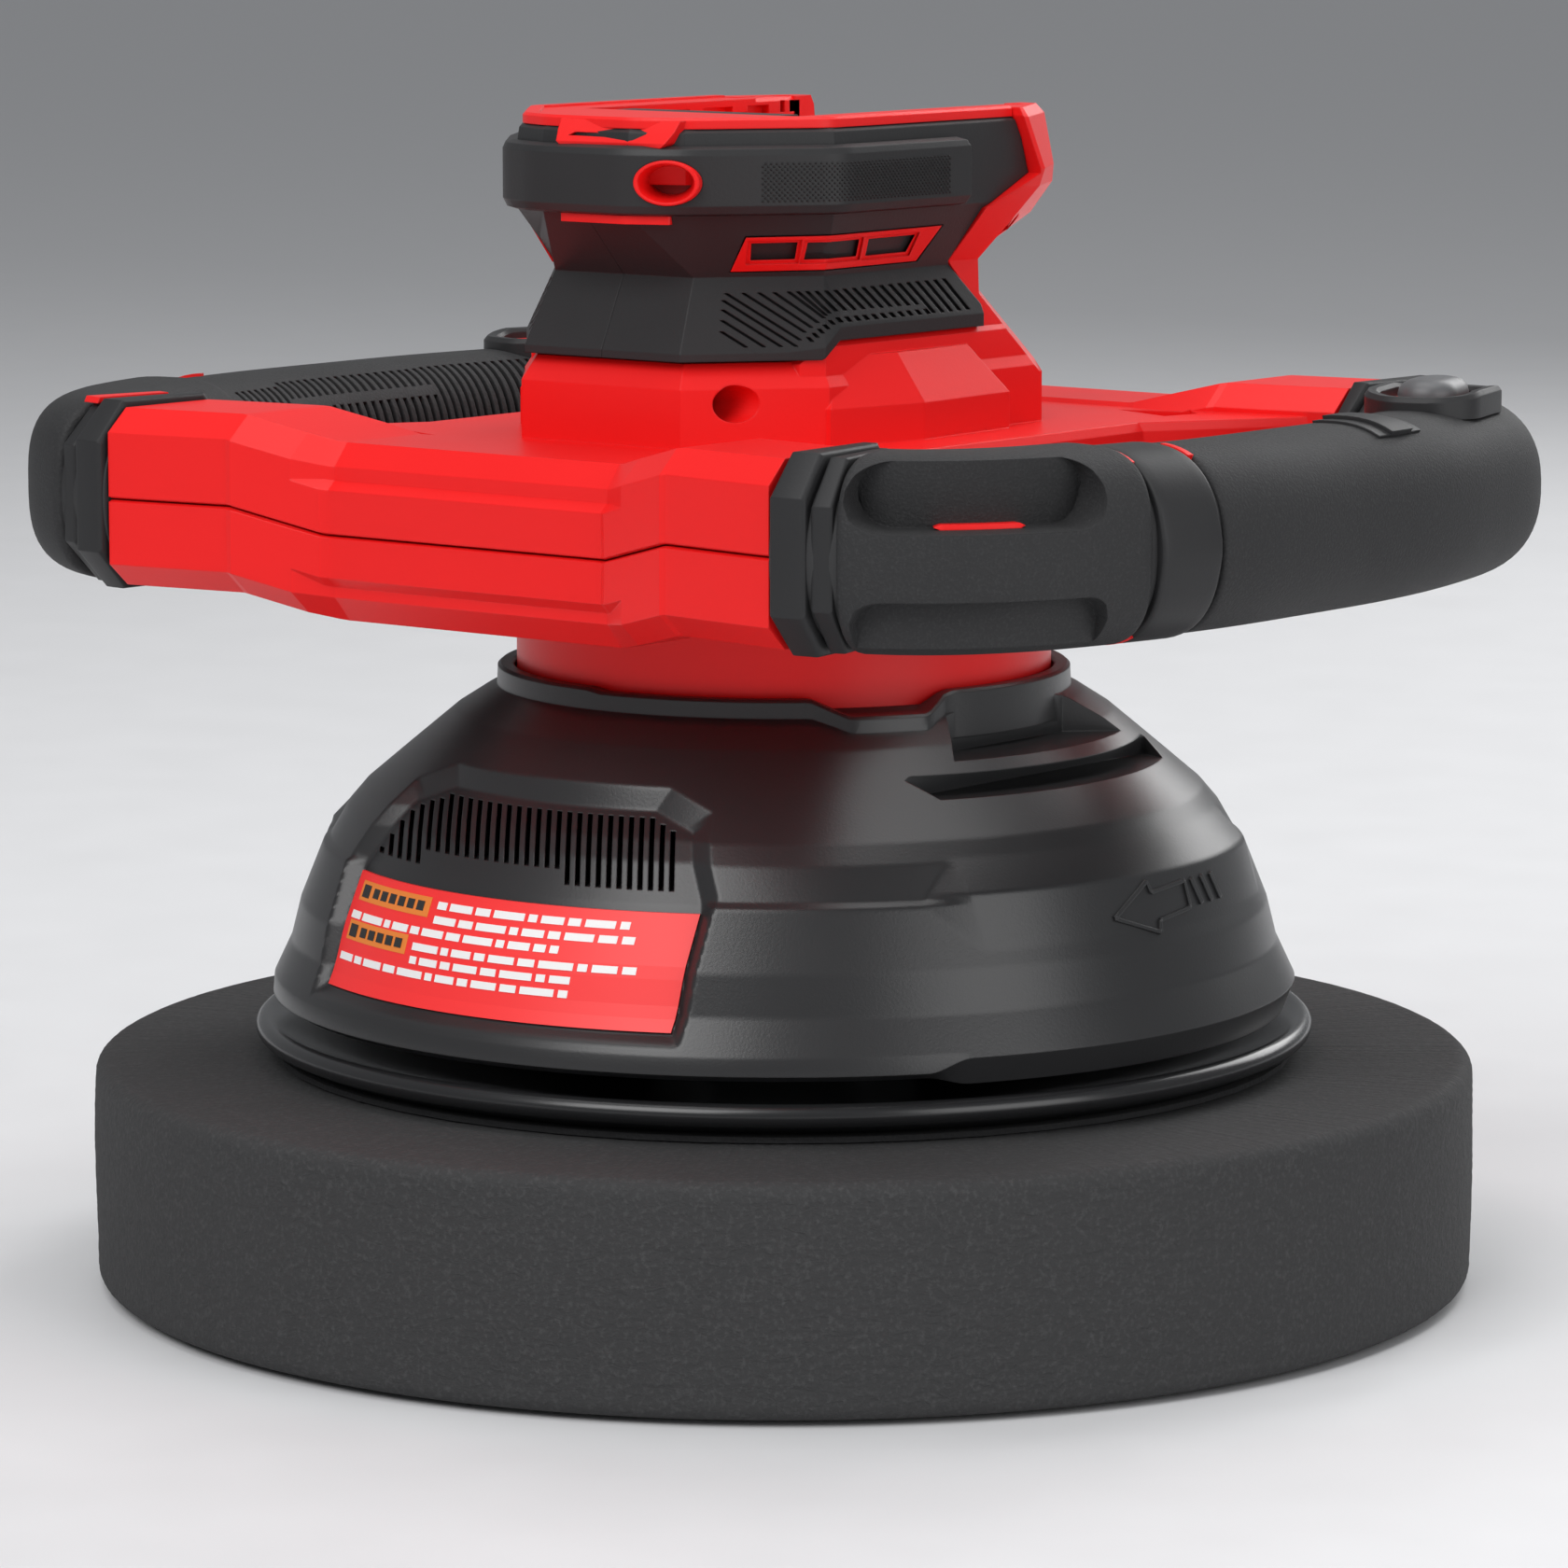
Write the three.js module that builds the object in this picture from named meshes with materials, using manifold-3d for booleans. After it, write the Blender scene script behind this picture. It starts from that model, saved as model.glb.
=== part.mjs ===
// Cordless dual action polisher: a steering-wheel handle around a motor column, a battery
// dock on top, and a 10 inch foam pad that orbits and spins freely under a flared shroud.
// Millimetres, +Z up. Origin: centre of the pad's working face on the motor axis.
// The front label faces -Y, the battery slides in from +Y, the power button is at +X.

import * as THREE from 'three';
import Module from 'manifold-3d';
import { mergeVertices } from 'three/addons/utils/BufferGeometryUtils.js';

const wasm = await Module();
wasm.setup();

// ---------------------------------------------------------------- driving dimensions
const GAP = 0.3;                  // clearance between neighbouring pieces
const PAD_RADIUS = 127;           // 10 inch pad
const PAD_HEIGHT = 41;
const CRANK = 3;                  // eccentric throw of the orbit
const CRANK_ANGLE = THREE.MathUtils.degToRad(128.4);   // crank direction at rest, from +X
const CRANK_X = CRANK * Math.cos(CRANK_ANGLE);
const CRANK_Y = CRANK * Math.sin(CRANK_ANGLE);

const RING_LOW = 130.6;           // handle ring, underside and top of the red bars
const RING_HIGH = 162.4;
const SEAM = 146.3;               // split between the two frame halves at the bar ends
const SEAM_DROP = 4.5;            // the split steps down by this along the bar's middle
const BAR_HALF = 15;              // half depth of a bar
const GRIP_HALF = 16.6;
const CAP_X = 75;                 // grips start here, front and rear
const CORE_HALF = 11;             // frame core inside the grips
const CORE_WALL = 3;
const DECK_LOW = 134;
const DECK_TOP = 157;

const HUB_RADIUS = 49;
const HUB_BASE = 113;
const MOTOR_RADIUS = 26;
const MOTOR_BASE = 126.5;
const MOTOR_TOP = 176;
const SHAFT_RADIUS = 5;
const SHAFT_TOP_RADIUS = 4;

const BLOCK_TOP = 172;            // red column block
const WAIST_Z = 186.5;            // narrowest level of the neck
const BUMPER_LOW = 196.8;
const BUMPER_TOP = 209;
const STRIP_TOP = 213.2;
const RIM_TOP = 215;
const POST_TOP = 216;
const BUMPER_DEPTH = 1.5;
const SPINE_Y = 18;               // the red rear spine starts behind this plane
const TRAY_FLOOR = 207.5;
const RAIL_INNER = 24.5;          // half width between the dock rails
const FOOT_HALF = 27.5;           // half width of the slot under the rails
const MOUTH_FRONT = -27;          // front end of the battery's slot

const SKIRT_BASE = 52.3;
const SKIRT_WALL = 3;
const LABEL_HALF = 27;            // degrees either side of the front

const BUTTON_X = 103;
const BUTTON_Y = 58;
const BUTTON_TURN = THREE.MathUtils.degToRad(16.7);    // the grip's direction at the button
const BUTTON_TOP = 167;
const SPRING_BASE = 149.3;
const SPRING_TOP = 156.2;

// ---------------------------------------------------------------- materials
const material = (color, roughness, metalness = 0) =>
  new THREE.MeshStandardMaterial({ color, roughness, metalness });
const RED = material(0xe01b1b, 0.35);
const CHARCOAL = material(0x2d2d2f, 0.5);
const RUBBER = material(0x242425, 0.85);
const SKIRT = material(0x262628, 0.4);
const FOAM = material(0x333335, 0.95);
const LABEL = material(0xd92222, 0.45);
const STEEL = material(0x9a9ca0, 0.35, 1);
const DARK_STEEL = material(0x55575b, 0.45, 1);
const ALUMINIUM = material(0xb8babd, 0.4, 1);
const COPPER = material(0xb36a3a, 0.4, 1);
const MAGNET = material(0x3b3b3d, 0.7, 0.3);
const CARBON = material(0x1c1c1d, 0.8);
const GREY = material(0x6c6e70, 0.5);
const HOOK = material(0x18181a, 0.95);

// ---------------------------------------------------------------- closed geometry helpers
function closed(geometry) {
  const bare = geometry.clone();
  bare.deleteAttribute('normal');
  bare.deleteAttribute('uv');
  const merged = mergeVertices(bare, 1e-4);
  const index = merged.getIndex().array;
  const kept = [];
  for (let i = 0; i < index.length; i += 3) {
    const [a, b, c] = [index[i], index[i + 1], index[i + 2]];
    if (a !== b && b !== c && c !== a) kept.push(a, b, c);
  }
  merged.setIndex(kept);
  return facesOut(merged);
}

function facesOut(geometry) {
  const position = geometry.getAttribute('position');
  const index = geometry.getIndex().array;
  const corner = [new THREE.Vector3(), new THREE.Vector3(), new THREE.Vector3()];
  let volume = 0;
  for (let i = 0; i < index.length; i += 3) {
    corner.forEach((point, k) => point.fromBufferAttribute(position, index[i + k]));
    volume += corner[0].dot(corner[1].clone().cross(corner[2]));
  }
  if (volume < 0) {
    for (let i = 0; i < index.length; i += 3) {
      [index[i], index[i + 1]] = [index[i + 1], index[i]];
    }
  }
  return geometry;
}

function solid(geometry) {
  const shape = closed(geometry);
  return new wasm.Manifold(new wasm.Mesh({
    numProp: 3,
    vertProperties: new Float32Array(shape.getAttribute('position').array),
    triVerts: new Uint32Array(shape.getIndex().array),
  }));
}

function toGeometry(body) {
  const mesh = body.getMesh();
  const geometry = new THREE.BufferGeometry();
  geometry.setAttribute('position', new THREE.BufferAttribute(mesh.vertProperties, 3));
  geometry.setIndex(new THREE.BufferAttribute(mesh.triVerts, 1));
  return geometry;
}

const join = (...bodies) => bodies.reduce((whole, body) => whole.add(body));
const cut = (body, ...tools) => tools.reduce((rest, tool) => rest.subtract(tool), body);

// ---------------------------------------------------------------- shape helpers
function cylinder(radius, low, high, { x = 0, y = 0, sides = 32 } = {}) {
  const geometry = new THREE.CylinderGeometry(radius, radius, high - low, sides);
  geometry.rotateX(Math.PI / 2);
  geometry.translate(x, y, (low + high) / 2);
  return solid(geometry);
}

function rodAlongX(radius, from, to, { y = 0, z = 0, sides = 16 } = {}) {
  const geometry = new THREE.CylinderGeometry(radius, radius, Math.abs(to - from), sides);
  geometry.rotateZ(Math.PI / 2);
  geometry.translate((from + to) / 2, y, z);
  return solid(geometry);
}

function box(x0, x1, y0, y1, z0, z1) {
  const geometry = new THREE.BoxGeometry(x1 - x0, y1 - y0, z1 - z0);
  geometry.translate((x0 + x1) / 2, (y0 + y1) / 2, (z0 + z1) / 2);
  return solid(geometry);
}

function lathe(profile, sides = 32) {
  const points = profile.map(([radius, z]) => new THREE.Vector2(radius, z));
  const first = profile[0];
  const last = profile[profile.length - 1];
  if (first[0] > 0 || last[0] > 0) points.push(points[0].clone());
  const geometry = new THREE.LatheGeometry(points, sides);
  geometry.rotateX(Math.PI / 2);
  return solid(geometry);
}

const tube = (inner, outer, low, high, sides = 32) =>
  lathe([[inner, low], [outer, low], [outer, high], [inner, high]], sides);

function prism(outline, low, high) {
  const shape = new THREE.Shape(outline.map(([x, y]) => new THREE.Vector2(x, y)));
  const geometry = new THREE.ExtrudeGeometry(shape, { depth: high - low, bevelEnabled: false });
  geometry.translate(0, 0, low);
  return solid(geometry);
}

// Extrudes an outline drawn in X and Z along the whole depth of the object.
function prismAlongY(outline, from, to) {
  const shape = new THREE.Shape(outline.map(([x, z]) => new THREE.Vector2(x, z)));
  const geometry = new THREE.ExtrudeGeometry(shape, { depth: to - from, bevelEnabled: false });
  geometry.rotateX(Math.PI / 2);
  geometry.translate(0, to, 0);
  return solid(geometry);
}

// Skins equal rings of an even number of points. Open runs get flat ends, made as strips
// across the ring, and closed runs join end to start.
function loft(rings, closedRun = false) {
  const size = rings[0].length;
  const vertices = rings.flat().flatMap((point) => [point.x, point.y, point.z]);
  const index = [];
  const spans = closedRun ? rings.length : rings.length - 1;
  for (let s = 0; s < spans; s += 1) {
    const here = s * size;
    const next = ((s + 1) % rings.length) * size;
    for (let k = 0; k < size; k += 1) {
      const k2 = (k + 1) % size;
      index.push(here + k, here + k2, next + k2, here + k, next + k2, next + k);
    }
  }
  if (!closedRun) {
    const end = (rings.length - 1) * size;
    for (let k = 0; k < size / 2 - 1; k += 1) {
      const across = size - 1 - k;
      index.push(k, across, across - 1, k, across - 1, k + 1);
      index.push(end + k, end + k + 1, end + across - 1, end + k, end + across - 1, end + across);
    }
  }
  const geometry = new THREE.BufferGeometry();
  geometry.setAttribute('position', new THREE.Float32BufferAttribute(vertices, 3));
  geometry.setIndex(index);
  return solid(geometry);
}

// Moves each edge of a convex anticlockwise outline inwards by the given distance.
function inset(outline, distance) {
  const count = outline.length;
  const edges = outline.map(([x, y], k) => {
    const [x2, y2] = outline[(k + 1) % count];
    const length = Math.hypot(x2 - x, y2 - y);
    const normal = [-(y2 - y) / length, (x2 - x) / length];
    return { normal, offset: normal[0] * x + normal[1] * y + distance };
  });
  return outline.map((_, k) => {
    const a = edges[(k + count - 1) % count];
    const b = edges[k];
    const det = a.normal[0] * b.normal[1] - a.normal[1] * b.normal[0];
    return [
      (a.offset * b.normal[1] - b.offset * a.normal[1]) / det,
      (a.normal[0] * b.offset - b.normal[0] * a.offset) / det,
    ];
  });
}

// Left-right symmetric outline from its right half, listed front to rear.
function mirrored(rightHalf) {
  const left = rightHalf.map(([x, y]) => [-x, y]).reverse();
  return [...rightHalf, ...left];
}

const atLevel = (outline, z) => outline.map(([x, y]) => new THREE.Vector3(x, y, z));

const whole = new THREE.Group();

// Cuts that meet along a surface can leave an empty sliver, so only the main body is kept.
function mainBody(body) {
  return body.decompose().reduce((a, b) => (b.volume() > a.volume() ? b : a));
}

function place(name, body, finish) {
  const mesh = new THREE.Mesh(toGeometry(mainBody(body)), finish);
  mesh.name = name;
  whole.add(mesh);
  return mesh;
}

// ---------------------------------------------------------------- handle ring path
// One quarter of the ring's centre line. Each bar sags by SEAM_DROP along its middle.
const QUADRANT = [[0, 74.5], [31, 74.5], [49, 80], [75, 84], [90, 80], [100, 68], [106, 48],
  [109.5, 25], [110, 0]];
const SAG_X = 31;

// The closed centre line, anticlockwise from above, starting at the rear middle.
function ringPath() {
  const rear = QUADRANT.slice(0, -1).map(([x, y]) => [-x, y]);
  const left = QUADRANT.slice(1).map(([x, y]) => [-x, -y]).reverse();
  const front = QUADRANT.slice(0, -1).map(([x, y]) => [x, -y]);
  const right = QUADRANT.slice(1).reverse();
  return [...rear, ...left, ...front, ...right];
}

const RING_PATH = ringPath();

// One cross-section of the ring at a path point. The outline is in (outwards, z).
function ringSection(k, outline) {
  const count = RING_PATH.length;
  const [x, y] = RING_PATH[k];
  const [xa, ya] = RING_PATH[(k + count - 1) % count];
  const [xb, yb] = RING_PATH[(k + 1) % count];
  const into = Math.atan2(y - ya, x - xa);
  const away = Math.atan2(yb - y, xb - x);
  const bend = Math.atan2(Math.sin(away - into), Math.cos(away - into));
  const heading = into + bend / 2;
  const out = [Math.sin(heading), -Math.cos(heading)];
  const sag = Math.abs(x) <= SAG_X ? SEAM_DROP : 0;
  return outline.map(([u, z]) => new THREE.Vector3(x + u * out[0], y + u * out[1], z - sag));
}

function chamferedSection(half, low, high, chamfer) {
  return [
    [half, low + chamfer], [half, high - chamfer], [half - chamfer, high],
    [chamfer - half, high], [-half, high - chamfer], [-half, low + chamfer],
    [chamfer - half, low], [half - chamfer, low],
  ];
}

function roundedSection(half, low, high, points = 12) {
  const middle = (low + high) / 2;
  const tall = (high - low) / 2;
  return Array.from({ length: points }, (_, k) => {
    const angle = (2 * Math.PI * (k + 0.5)) / points;
    const soften = (value) => Math.sign(value) * Math.abs(value) ** 0.72;
    return [half * soften(Math.cos(angle)), middle + tall * soften(Math.sin(angle))];
  });
}

// Path indices of one stretch of the ring, in path order.
function stretch(test) {
  const count = RING_PATH.length;
  const start = RING_PATH.findIndex((point, k) =>
    test(point) && !test(RING_PATH[(k + count - 1) % count]));
  const found = [];
  for (let k = start; test(RING_PATH[k % count]) && found.length < count; k += 1) {
    found.push(k % count);
  }
  return found;
}

function ringStretch(test, outline) {
  return loft(stretch(test).map((k) => ringSection(k, outline)));
}

function ringLoop(outline) {
  return loft(RING_PATH.map((_, k) => ringSection(k, outline)), true);
}

// ---------------------------------------------------------------- plans of the column
const BLOCK_PLAN = mirrored([[18.2, -52.3], [30, -37.5], [35.2, -31.5], [35.2, 31.5],
  [18.2, 52.3]]);
const WAIST_PLAN = mirrored([[15.9, -45.6], [26.2, -32.7], [30.7, -27.5], [30.7, 20], [20, 31]]);
const DOCK_PLAN = mirrored([[10.3, -58.9], [20.9, -54.2], [38.5, -31.9], [38.5, 27],
  [31, 41.5]]);
const DECK_PLAN = mirrored([[72, -72], [52, -40], [52, 40], [72, 72]]);
const BULGE_PLAN = [[30, -32], [35.5, -32], [40, -10.5], [38.5, 19.5], [35, 21.5], [30, 21.5]];

const mirrorX = (outline) => outline.map(([x, y]) => [-x, y]).reverse();

function bulge(outline) {
  const top = outline.map(([x, y]) => [Math.sign(x) * (Math.abs(x) - 5), y * 0.8]);
  return loft([atLevel(outline, DECK_TOP - 2), atLevel(outline, 167), atLevel(top, 171.5)]);
}

// ---------------------------------------------------------------- frame halves
const SCREW_SPOTS = [[60, 82.5], [-60, 82.5], [-60, -82.5], [60, -82.5]];
const SCREW_HEAD = 3.4;
const SCREW_SHANK = 1.7;
const BOSS_RADIUS = 5;
const HUB_SCREW_RADIUS = 46;
const HUB_SCREW_ANGLES = [30, 150, 270].map((degrees) => THREE.MathUtils.degToRad(degrees));
const PINCH_Y = -44.4;            // transverse screw that clamps the block on the motor
const PINCH_Z = 164.3;
const PINCH_HEAD_X = 17;

const buttonFrame = new THREE.Matrix4()
  .makeTranslation(BUTTON_X, BUTTON_Y, 0)
  .multiply(new THREE.Matrix4().makeRotationZ(BUTTON_TURN));

function atButton(outline) {
  return outline.map(([x, y]) => {
    const point = new THREE.Vector3(x, y, 0).applyMatrix4(buttonFrame);
    return [point.x, point.y];
  });
}

function pill(width, length, corner) {
  const [w, l] = [width / 2, length / 2];
  return [[w - corner, -l], [w, corner - l], [w, l - corner], [w - corner, l],
    [corner - w, l], [-w, l - corner], [-w, corner - l], [corner - w, -l]];
}

function frameBody() {
  const barOutline = chamferedSection(BAR_HALF, RING_LOW, RING_HIGH, 4.5);
  const isBar = ([x]) => Math.abs(x) <= CAP_X;
  const bars = [
    ringStretch(([x, y]) => isBar([x]) && y > 0, barOutline),
    ringStretch(([x, y]) => isBar([x]) && y < 0, barOutline),
  ];
  const core = ringLoop(chamferedSection(CORE_HALF, 134.5, 158.5, 3));
  const room = CORE_HALF - CORE_WALL;
  const cavity = ringLoop([[room, 137.5], [room, 155.5], [-room, 155.5], [-room, 137.5]]);
  const massive = join(
    core,
    ...bars,
    prism(DECK_PLAN, DECK_LOW, DECK_TOP),
    prism(BLOCK_PLAN, DECK_TOP - 1, BLOCK_TOP - 4),
    loft([atLevel(BLOCK_PLAN, BLOCK_TOP - 4.01), atLevel(inset(BLOCK_PLAN, 2.5), BLOCK_TOP)]),
    bulge(BULGE_PLAN),
    bulge(mirrorX(BULGE_PLAN)),
    cylinder(HUB_RADIUS, HUB_BASE, DECK_LOW + 1, { sides: 40 }),
  );
  const bosses = SCREW_SPOTS.map(([x, y]) =>
    cylinder(BOSS_RADIUS, 137, 156, { x, y, sides: 8 }));
  const screwHoles = SCREW_SPOTS.flatMap(([x, y]) => [
    cylinder(SCREW_SHANK + GAP, RING_LOW - 1, 155, { x, y, sides: 8 }),
    cylinder(SCREW_HEAD + GAP, RING_LOW - 1, 134.3, { x, y, sides: 8 }),
  ]);
  const hubHoles = HUB_SCREW_ANGLES.map((angle) => cylinder(SCREW_SHANK + GAP, HUB_BASE - 1, 126, {
    x: HUB_SCREW_RADIUS * Math.cos(angle), y: HUB_SCREW_RADIUS * Math.sin(angle), sides: 12,
  }));
  return cut(
    join(cut(massive, cavity), ...bosses),
    cylinder(43, HUB_BASE - 1, 117.3),
    cylinder(30, 117, MOTOR_BASE - GAP),
    cylinder(MOTOR_RADIUS + GAP + 0.1, MOTOR_BASE - 1, BLOCK_TOP + 1),
    prism(atButton(pill(17.4, 25.4, 3)), SPRING_BASE, RING_HIGH + 2),
    rodAlongX(3.2, 50, PINCH_HEAD_X - 3, { y: PINCH_Y, z: PINCH_Z }),
    rodAlongX(SCREW_SHANK + GAP, 30, -19, { y: PINCH_Y, z: PINCH_Z, sides: 12 }),
    ...screwHoles,
    ...hubHoles,
  );
}

// Everything under the split surface, whose middle runs lower than its ends.
function belowSplit(lift) {
  const [level, low] = [SEAM + lift, SEAM - SEAM_DROP + lift];
  return prismAlongY([
    [-140, 90], [140, 90], [140, level], [49, level], [SAG_X, low], [-SAG_X, low],
    [-49, level], [-140, level],
  ], -120, 120);
}

const frame = frameBody();
place('frame_upper', frame.subtract(belowSplit(GAP / 2)), RED);
place('frame_lower', frame.intersect(belowSplit(-GAP / 2)), RED);

function frameScrews() {
  SCREW_SPOTS.forEach(([x, y], k) => {
    const head = cylinder(SCREW_HEAD, RING_LOW + 0.4, 134, { x, y, sides: 8 });
    const shank = cylinder(SCREW_SHANK, 133, 154.5, { x, y, sides: 8 });
    const socket = cylinder(1.6, RING_LOW, 132.6, { x, y, sides: 6 });
    place(`frame_screw_${k + 1}`, head.add(shank).subtract(socket), DARK_STEEL);
  });
  const head = rodAlongX(2.8, PINCH_HEAD_X, PINCH_HEAD_X - 2.7, { y: PINCH_Y, z: PINCH_Z });
  const shank = rodAlongX(SCREW_SHANK, PINCH_HEAD_X - 1, -18.5, {
    y: PINCH_Y, z: PINCH_Z, sides: 12,
  });
  place('pinch_screw', head.add(shank), DARK_STEEL);
}
frameScrews();

// ---------------------------------------------------------------- grips
function grip(side) {
  const test = ([x]) => x * side >= CAP_X;
  const sleeve = ringStretch(test, roundedSection(GRIP_HALF, RING_LOW - 1.1, RING_HIGH + 1.4));
  const bore = ringLoop(chamferedSection(CORE_HALF + GAP, 134.5 - GAP, 158.5 + GAP, 3));
  const caps = box(side > 0 ? CAP_X + GAP : -130, side > 0 ? 130 : -CAP_X - GAP,
    -120, 120, 120, 175);
  return sleeve.subtract(bore).intersect(caps);
}

function bezel(side) {
  const rim = prism(atButton(pill(18, 27, 5)), 160.6, 165.4);
  const hole = prism(atButton(pill(13.6, 21.6, 4)), 159, 167);
  const piece = rim.subtract(hole);
  return side > 0 ? piece : mirrorBody(piece);
}

function mirrorBody(body) {
  const geometry = toGeometry(body);
  geometry.scale(-1, 1, 1);
  return solid(geometry);
}

const bezelPocket = prism(atButton(pill(18 + 2 * GAP, 27 + 2 * GAP, 5)), 160.3, 170);
const buttonPocket = prism(atButton(pill(17.4, 25.4, 3)), 150, 170);
place('right_grip', cut(grip(1), bezelPocket, buttonPocket), RUBBER);
place('left_grip', cut(grip(-1), mirrorBody(bezelPocket)), RUBBER);
place('button_bezel', bezel(1), CHARCOAL);
place('left_grip_bezel', bezel(-1), CHARCOAL);

// ---------------------------------------------------------------- power button
function powerButton() {
  const cap = prism(atButton(pill(13, 21, 3.6)), 159, BUTTON_TOP - 1.6);
  const crown = loft([
    atLevel(atButton(pill(13, 21, 3.6)), BUTTON_TOP - 1.61),
    atLevel(atButton(pill(9.5, 17.5, 3)), BUTTON_TOP),
  ]);
  const flange = prism(atButton(pill(16.4, 24.4, 3)), 156.8, 160);
  const seat = cylinder(5.6, 150, SPRING_TOP + GAP + 1.8, { x: BUTTON_X, y: BUTTON_Y, sides: 16 });
  return cut(join(cap, crown, flange), seat);
}

class Helix extends THREE.Curve {
  constructor(radius, low, high, turns) {
    super();
    Object.assign(this, { radius, low, high, turns });
  }

  getPoint(t, target = new THREE.Vector3()) {
    const angle = 2 * Math.PI * this.turns * t;
    return target.set(
      BUTTON_X + this.radius * Math.cos(angle),
      BUTTON_Y + this.radius * Math.sin(angle),
      this.low + (this.high - this.low) * t,
    );
  }
}

function buttonSpring() {
  const wire = 0.5;
  const section = new THREE.Shape();
  section.absarc(0, 0, wire, 0, 2 * Math.PI);
  const path = new Helix(4.2, SPRING_BASE + 0.8, SPRING_TOP + 1, 4);
  const coil = new THREE.ExtrudeGeometry(section, {
    steps: 32, curveSegments: 3, bevelEnabled: false, extrudePath: path,
  });
  return solid(coil);
}

function powerSwitch() {
  const [w, l] = [6.6, 10];
  const housing = prism(atButton([[-w, -l], [w, -l], [w, l], [-w, l]]), 137.9, SPRING_BASE - 0.3);
  const plunger = cylinder(2.2, 148, 152.6, { x: BUTTON_X, y: BUTTON_Y, sides: 12 });
  return housing.add(plunger);
}

place('power_button', powerButton(), GREY);
place('button_spring', buttonSpring(), STEEL);
place('power_switch', powerSwitch(), CARBON);

// ---------------------------------------------------------------- neck covers, spine, bumper
const COVER_TOP_PLAN = inset(DOCK_PLAN, BUMPER_DEPTH + GAP);
const SCREW_Y = -51.8;            // transverse screw under the front tab
const SCREW_Z = 203;

// The room behind the front screw boss, where the dock tray may reach down.
const behindScrew = (lift) => box(-60, 60, -46 - lift, 70, 190, 210);

function neckBody() {
  const outer = loft([
    atLevel(inset(BLOCK_PLAN, 1), BLOCK_TOP + GAP),
    atLevel(inset(BLOCK_PLAN, 1), 176),
    atLevel(WAIST_PLAN, WAIST_Z),
    atLevel(COVER_TOP_PLAN, BUMPER_LOW - 0.5),
    atLevel(COVER_TOP_PLAN, STRIP_TOP),
  ]);
  return cut(
    outer,
    cylinder(MOTOR_RADIUS + 0.8, BLOCK_TOP - 1, 190, { sides: 40 }),
    prism(inset(DOCK_PLAN, 6), 207, STRIP_TOP + 1),
    prism(inset(DOCK_PLAN, 6), 199.5, 208).intersect(behindScrew(GAP)),
    cylinder(12, 189, 200, { sides: 24 }),
    box(-FOOT_HALF - GAP, FOOT_HALF + GAP, 20, 60, TRAY_FLOOR - GAP, STRIP_TOP + 1),
  );
}

function sideVents(side) {
  return [-17, -6.5, 4].map((y) =>
    box(side > 0 ? 22 : -45, side > 0 ? 45 : -22, y - 4, y + 4, 189.5, 193.8));
}

function neckPieces() {
  const neck = neckBody();
  const half = (side) => box(side > 0 ? GAP / 2 : -60, side > 0 ? 60 : -GAP / 2,
    -70, SPINE_Y - GAP / 2, 165, 225);
  const headHole = rodAlongX(3.7, 60, 4.7, { y: SCREW_Y, z: SCREW_Z });
  const shankHole = rodAlongX(SCREW_SHANK + GAP, 30, -9.5, { y: SCREW_Y, z: SCREW_Z, sides: 12 });
  place('neck_cover_right', cut(neck.intersect(half(1)), headHole, shankHole, ...sideVents(1)),
    CHARCOAL);
  place('neck_cover_left', cut(neck.intersect(half(-1)), shankHole, ...sideVents(-1)), CHARCOAL);
  place('rear_spine', neck.intersect(box(-60, 60, SPINE_Y + GAP / 2, 70, 165, 225)), RED);
  const band = cut(
    prism(DOCK_PLAN, BUMPER_LOW, BUMPER_TOP),
    prism(inset(DOCK_PLAN, BUMPER_DEPTH), BUMPER_LOW - 1, BUMPER_TOP + 1),
    box(-60, 60, 5.5, 70, 190, 215),
    headHole,
  );
  place('dock_bumper', band, RUBBER);
  const head = rodAlongX(3.2, 7.7, 5, { y: SCREW_Y, z: SCREW_Z });
  const shank = rodAlongX(SCREW_SHANK, 6, -9, { y: SCREW_Y, z: SCREW_Z, sides: 12 });
  place('cover_screw', head.add(shank), DARK_STEEL);
}
neckPieces();

// ---------------------------------------------------------------- battery dock
function batteryDock() {
  const plan = inset(DOCK_PLAN, 6 + GAP);
  const tray = join(
    prism(plan, TRAY_FLOOR, STRIP_TOP + GAP + 0.1),
    prism(plan, 203, TRAY_FLOOR + 0.1).intersect(behindScrew(0)),
  );
  const rim = prism(DOCK_PLAN, STRIP_TOP + GAP, RIM_TOP);
  const rails = [-1, 1].map((side) => box(
    Math.min(side * RAIL_INNER, side * 31), Math.max(side * RAIL_INNER, side * 31),
    -20, 41, RIM_TOP - 1, POST_TOP,
  ));
  const foot = box(-FOOT_HALF, FOOT_HALF, MOUTH_FRONT, 60, TRAY_FLOOR, 213.4);
  const slot = box(-RAIL_INNER, RAIL_INNER, MOUTH_FRONT, 60, 213, POST_TOP + 1);
  const tab = prism([[-16, -59.2], [13, -59.2], [18, -54], [18, -50], [-18, -50], [-18, -56]],
    STRIP_TOP + GAP, RIM_TOP - 0.5);
  return cut(join(tray, rim, tab, ...rails), foot, slot);
}

function terminals() {
  const body = box(-19, 19, MOUTH_FRONT + GAP, -20, TRAY_FLOOR + GAP, 214.5);
  const pitch = 8.5;
  const bladeX = [-1.5, -0.5, 0.5, 1.5].map((step) => step * pitch);
  const slots = bladeX.map((x) => box(x - 0.7, x + 0.7, -24, -19, 209.2, 213.8));
  place('terminal_block', cut(body, ...slots), CARBON);
  bladeX.forEach((x, k) => {
    place(`contact_blade_${k + 1}`, box(x - 0.4, x + 0.4, -23.7, -10, 209.5, 213.5), STEEL);
  });
}

place('battery_dock', batteryDock(), RED);
terminals();

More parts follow.
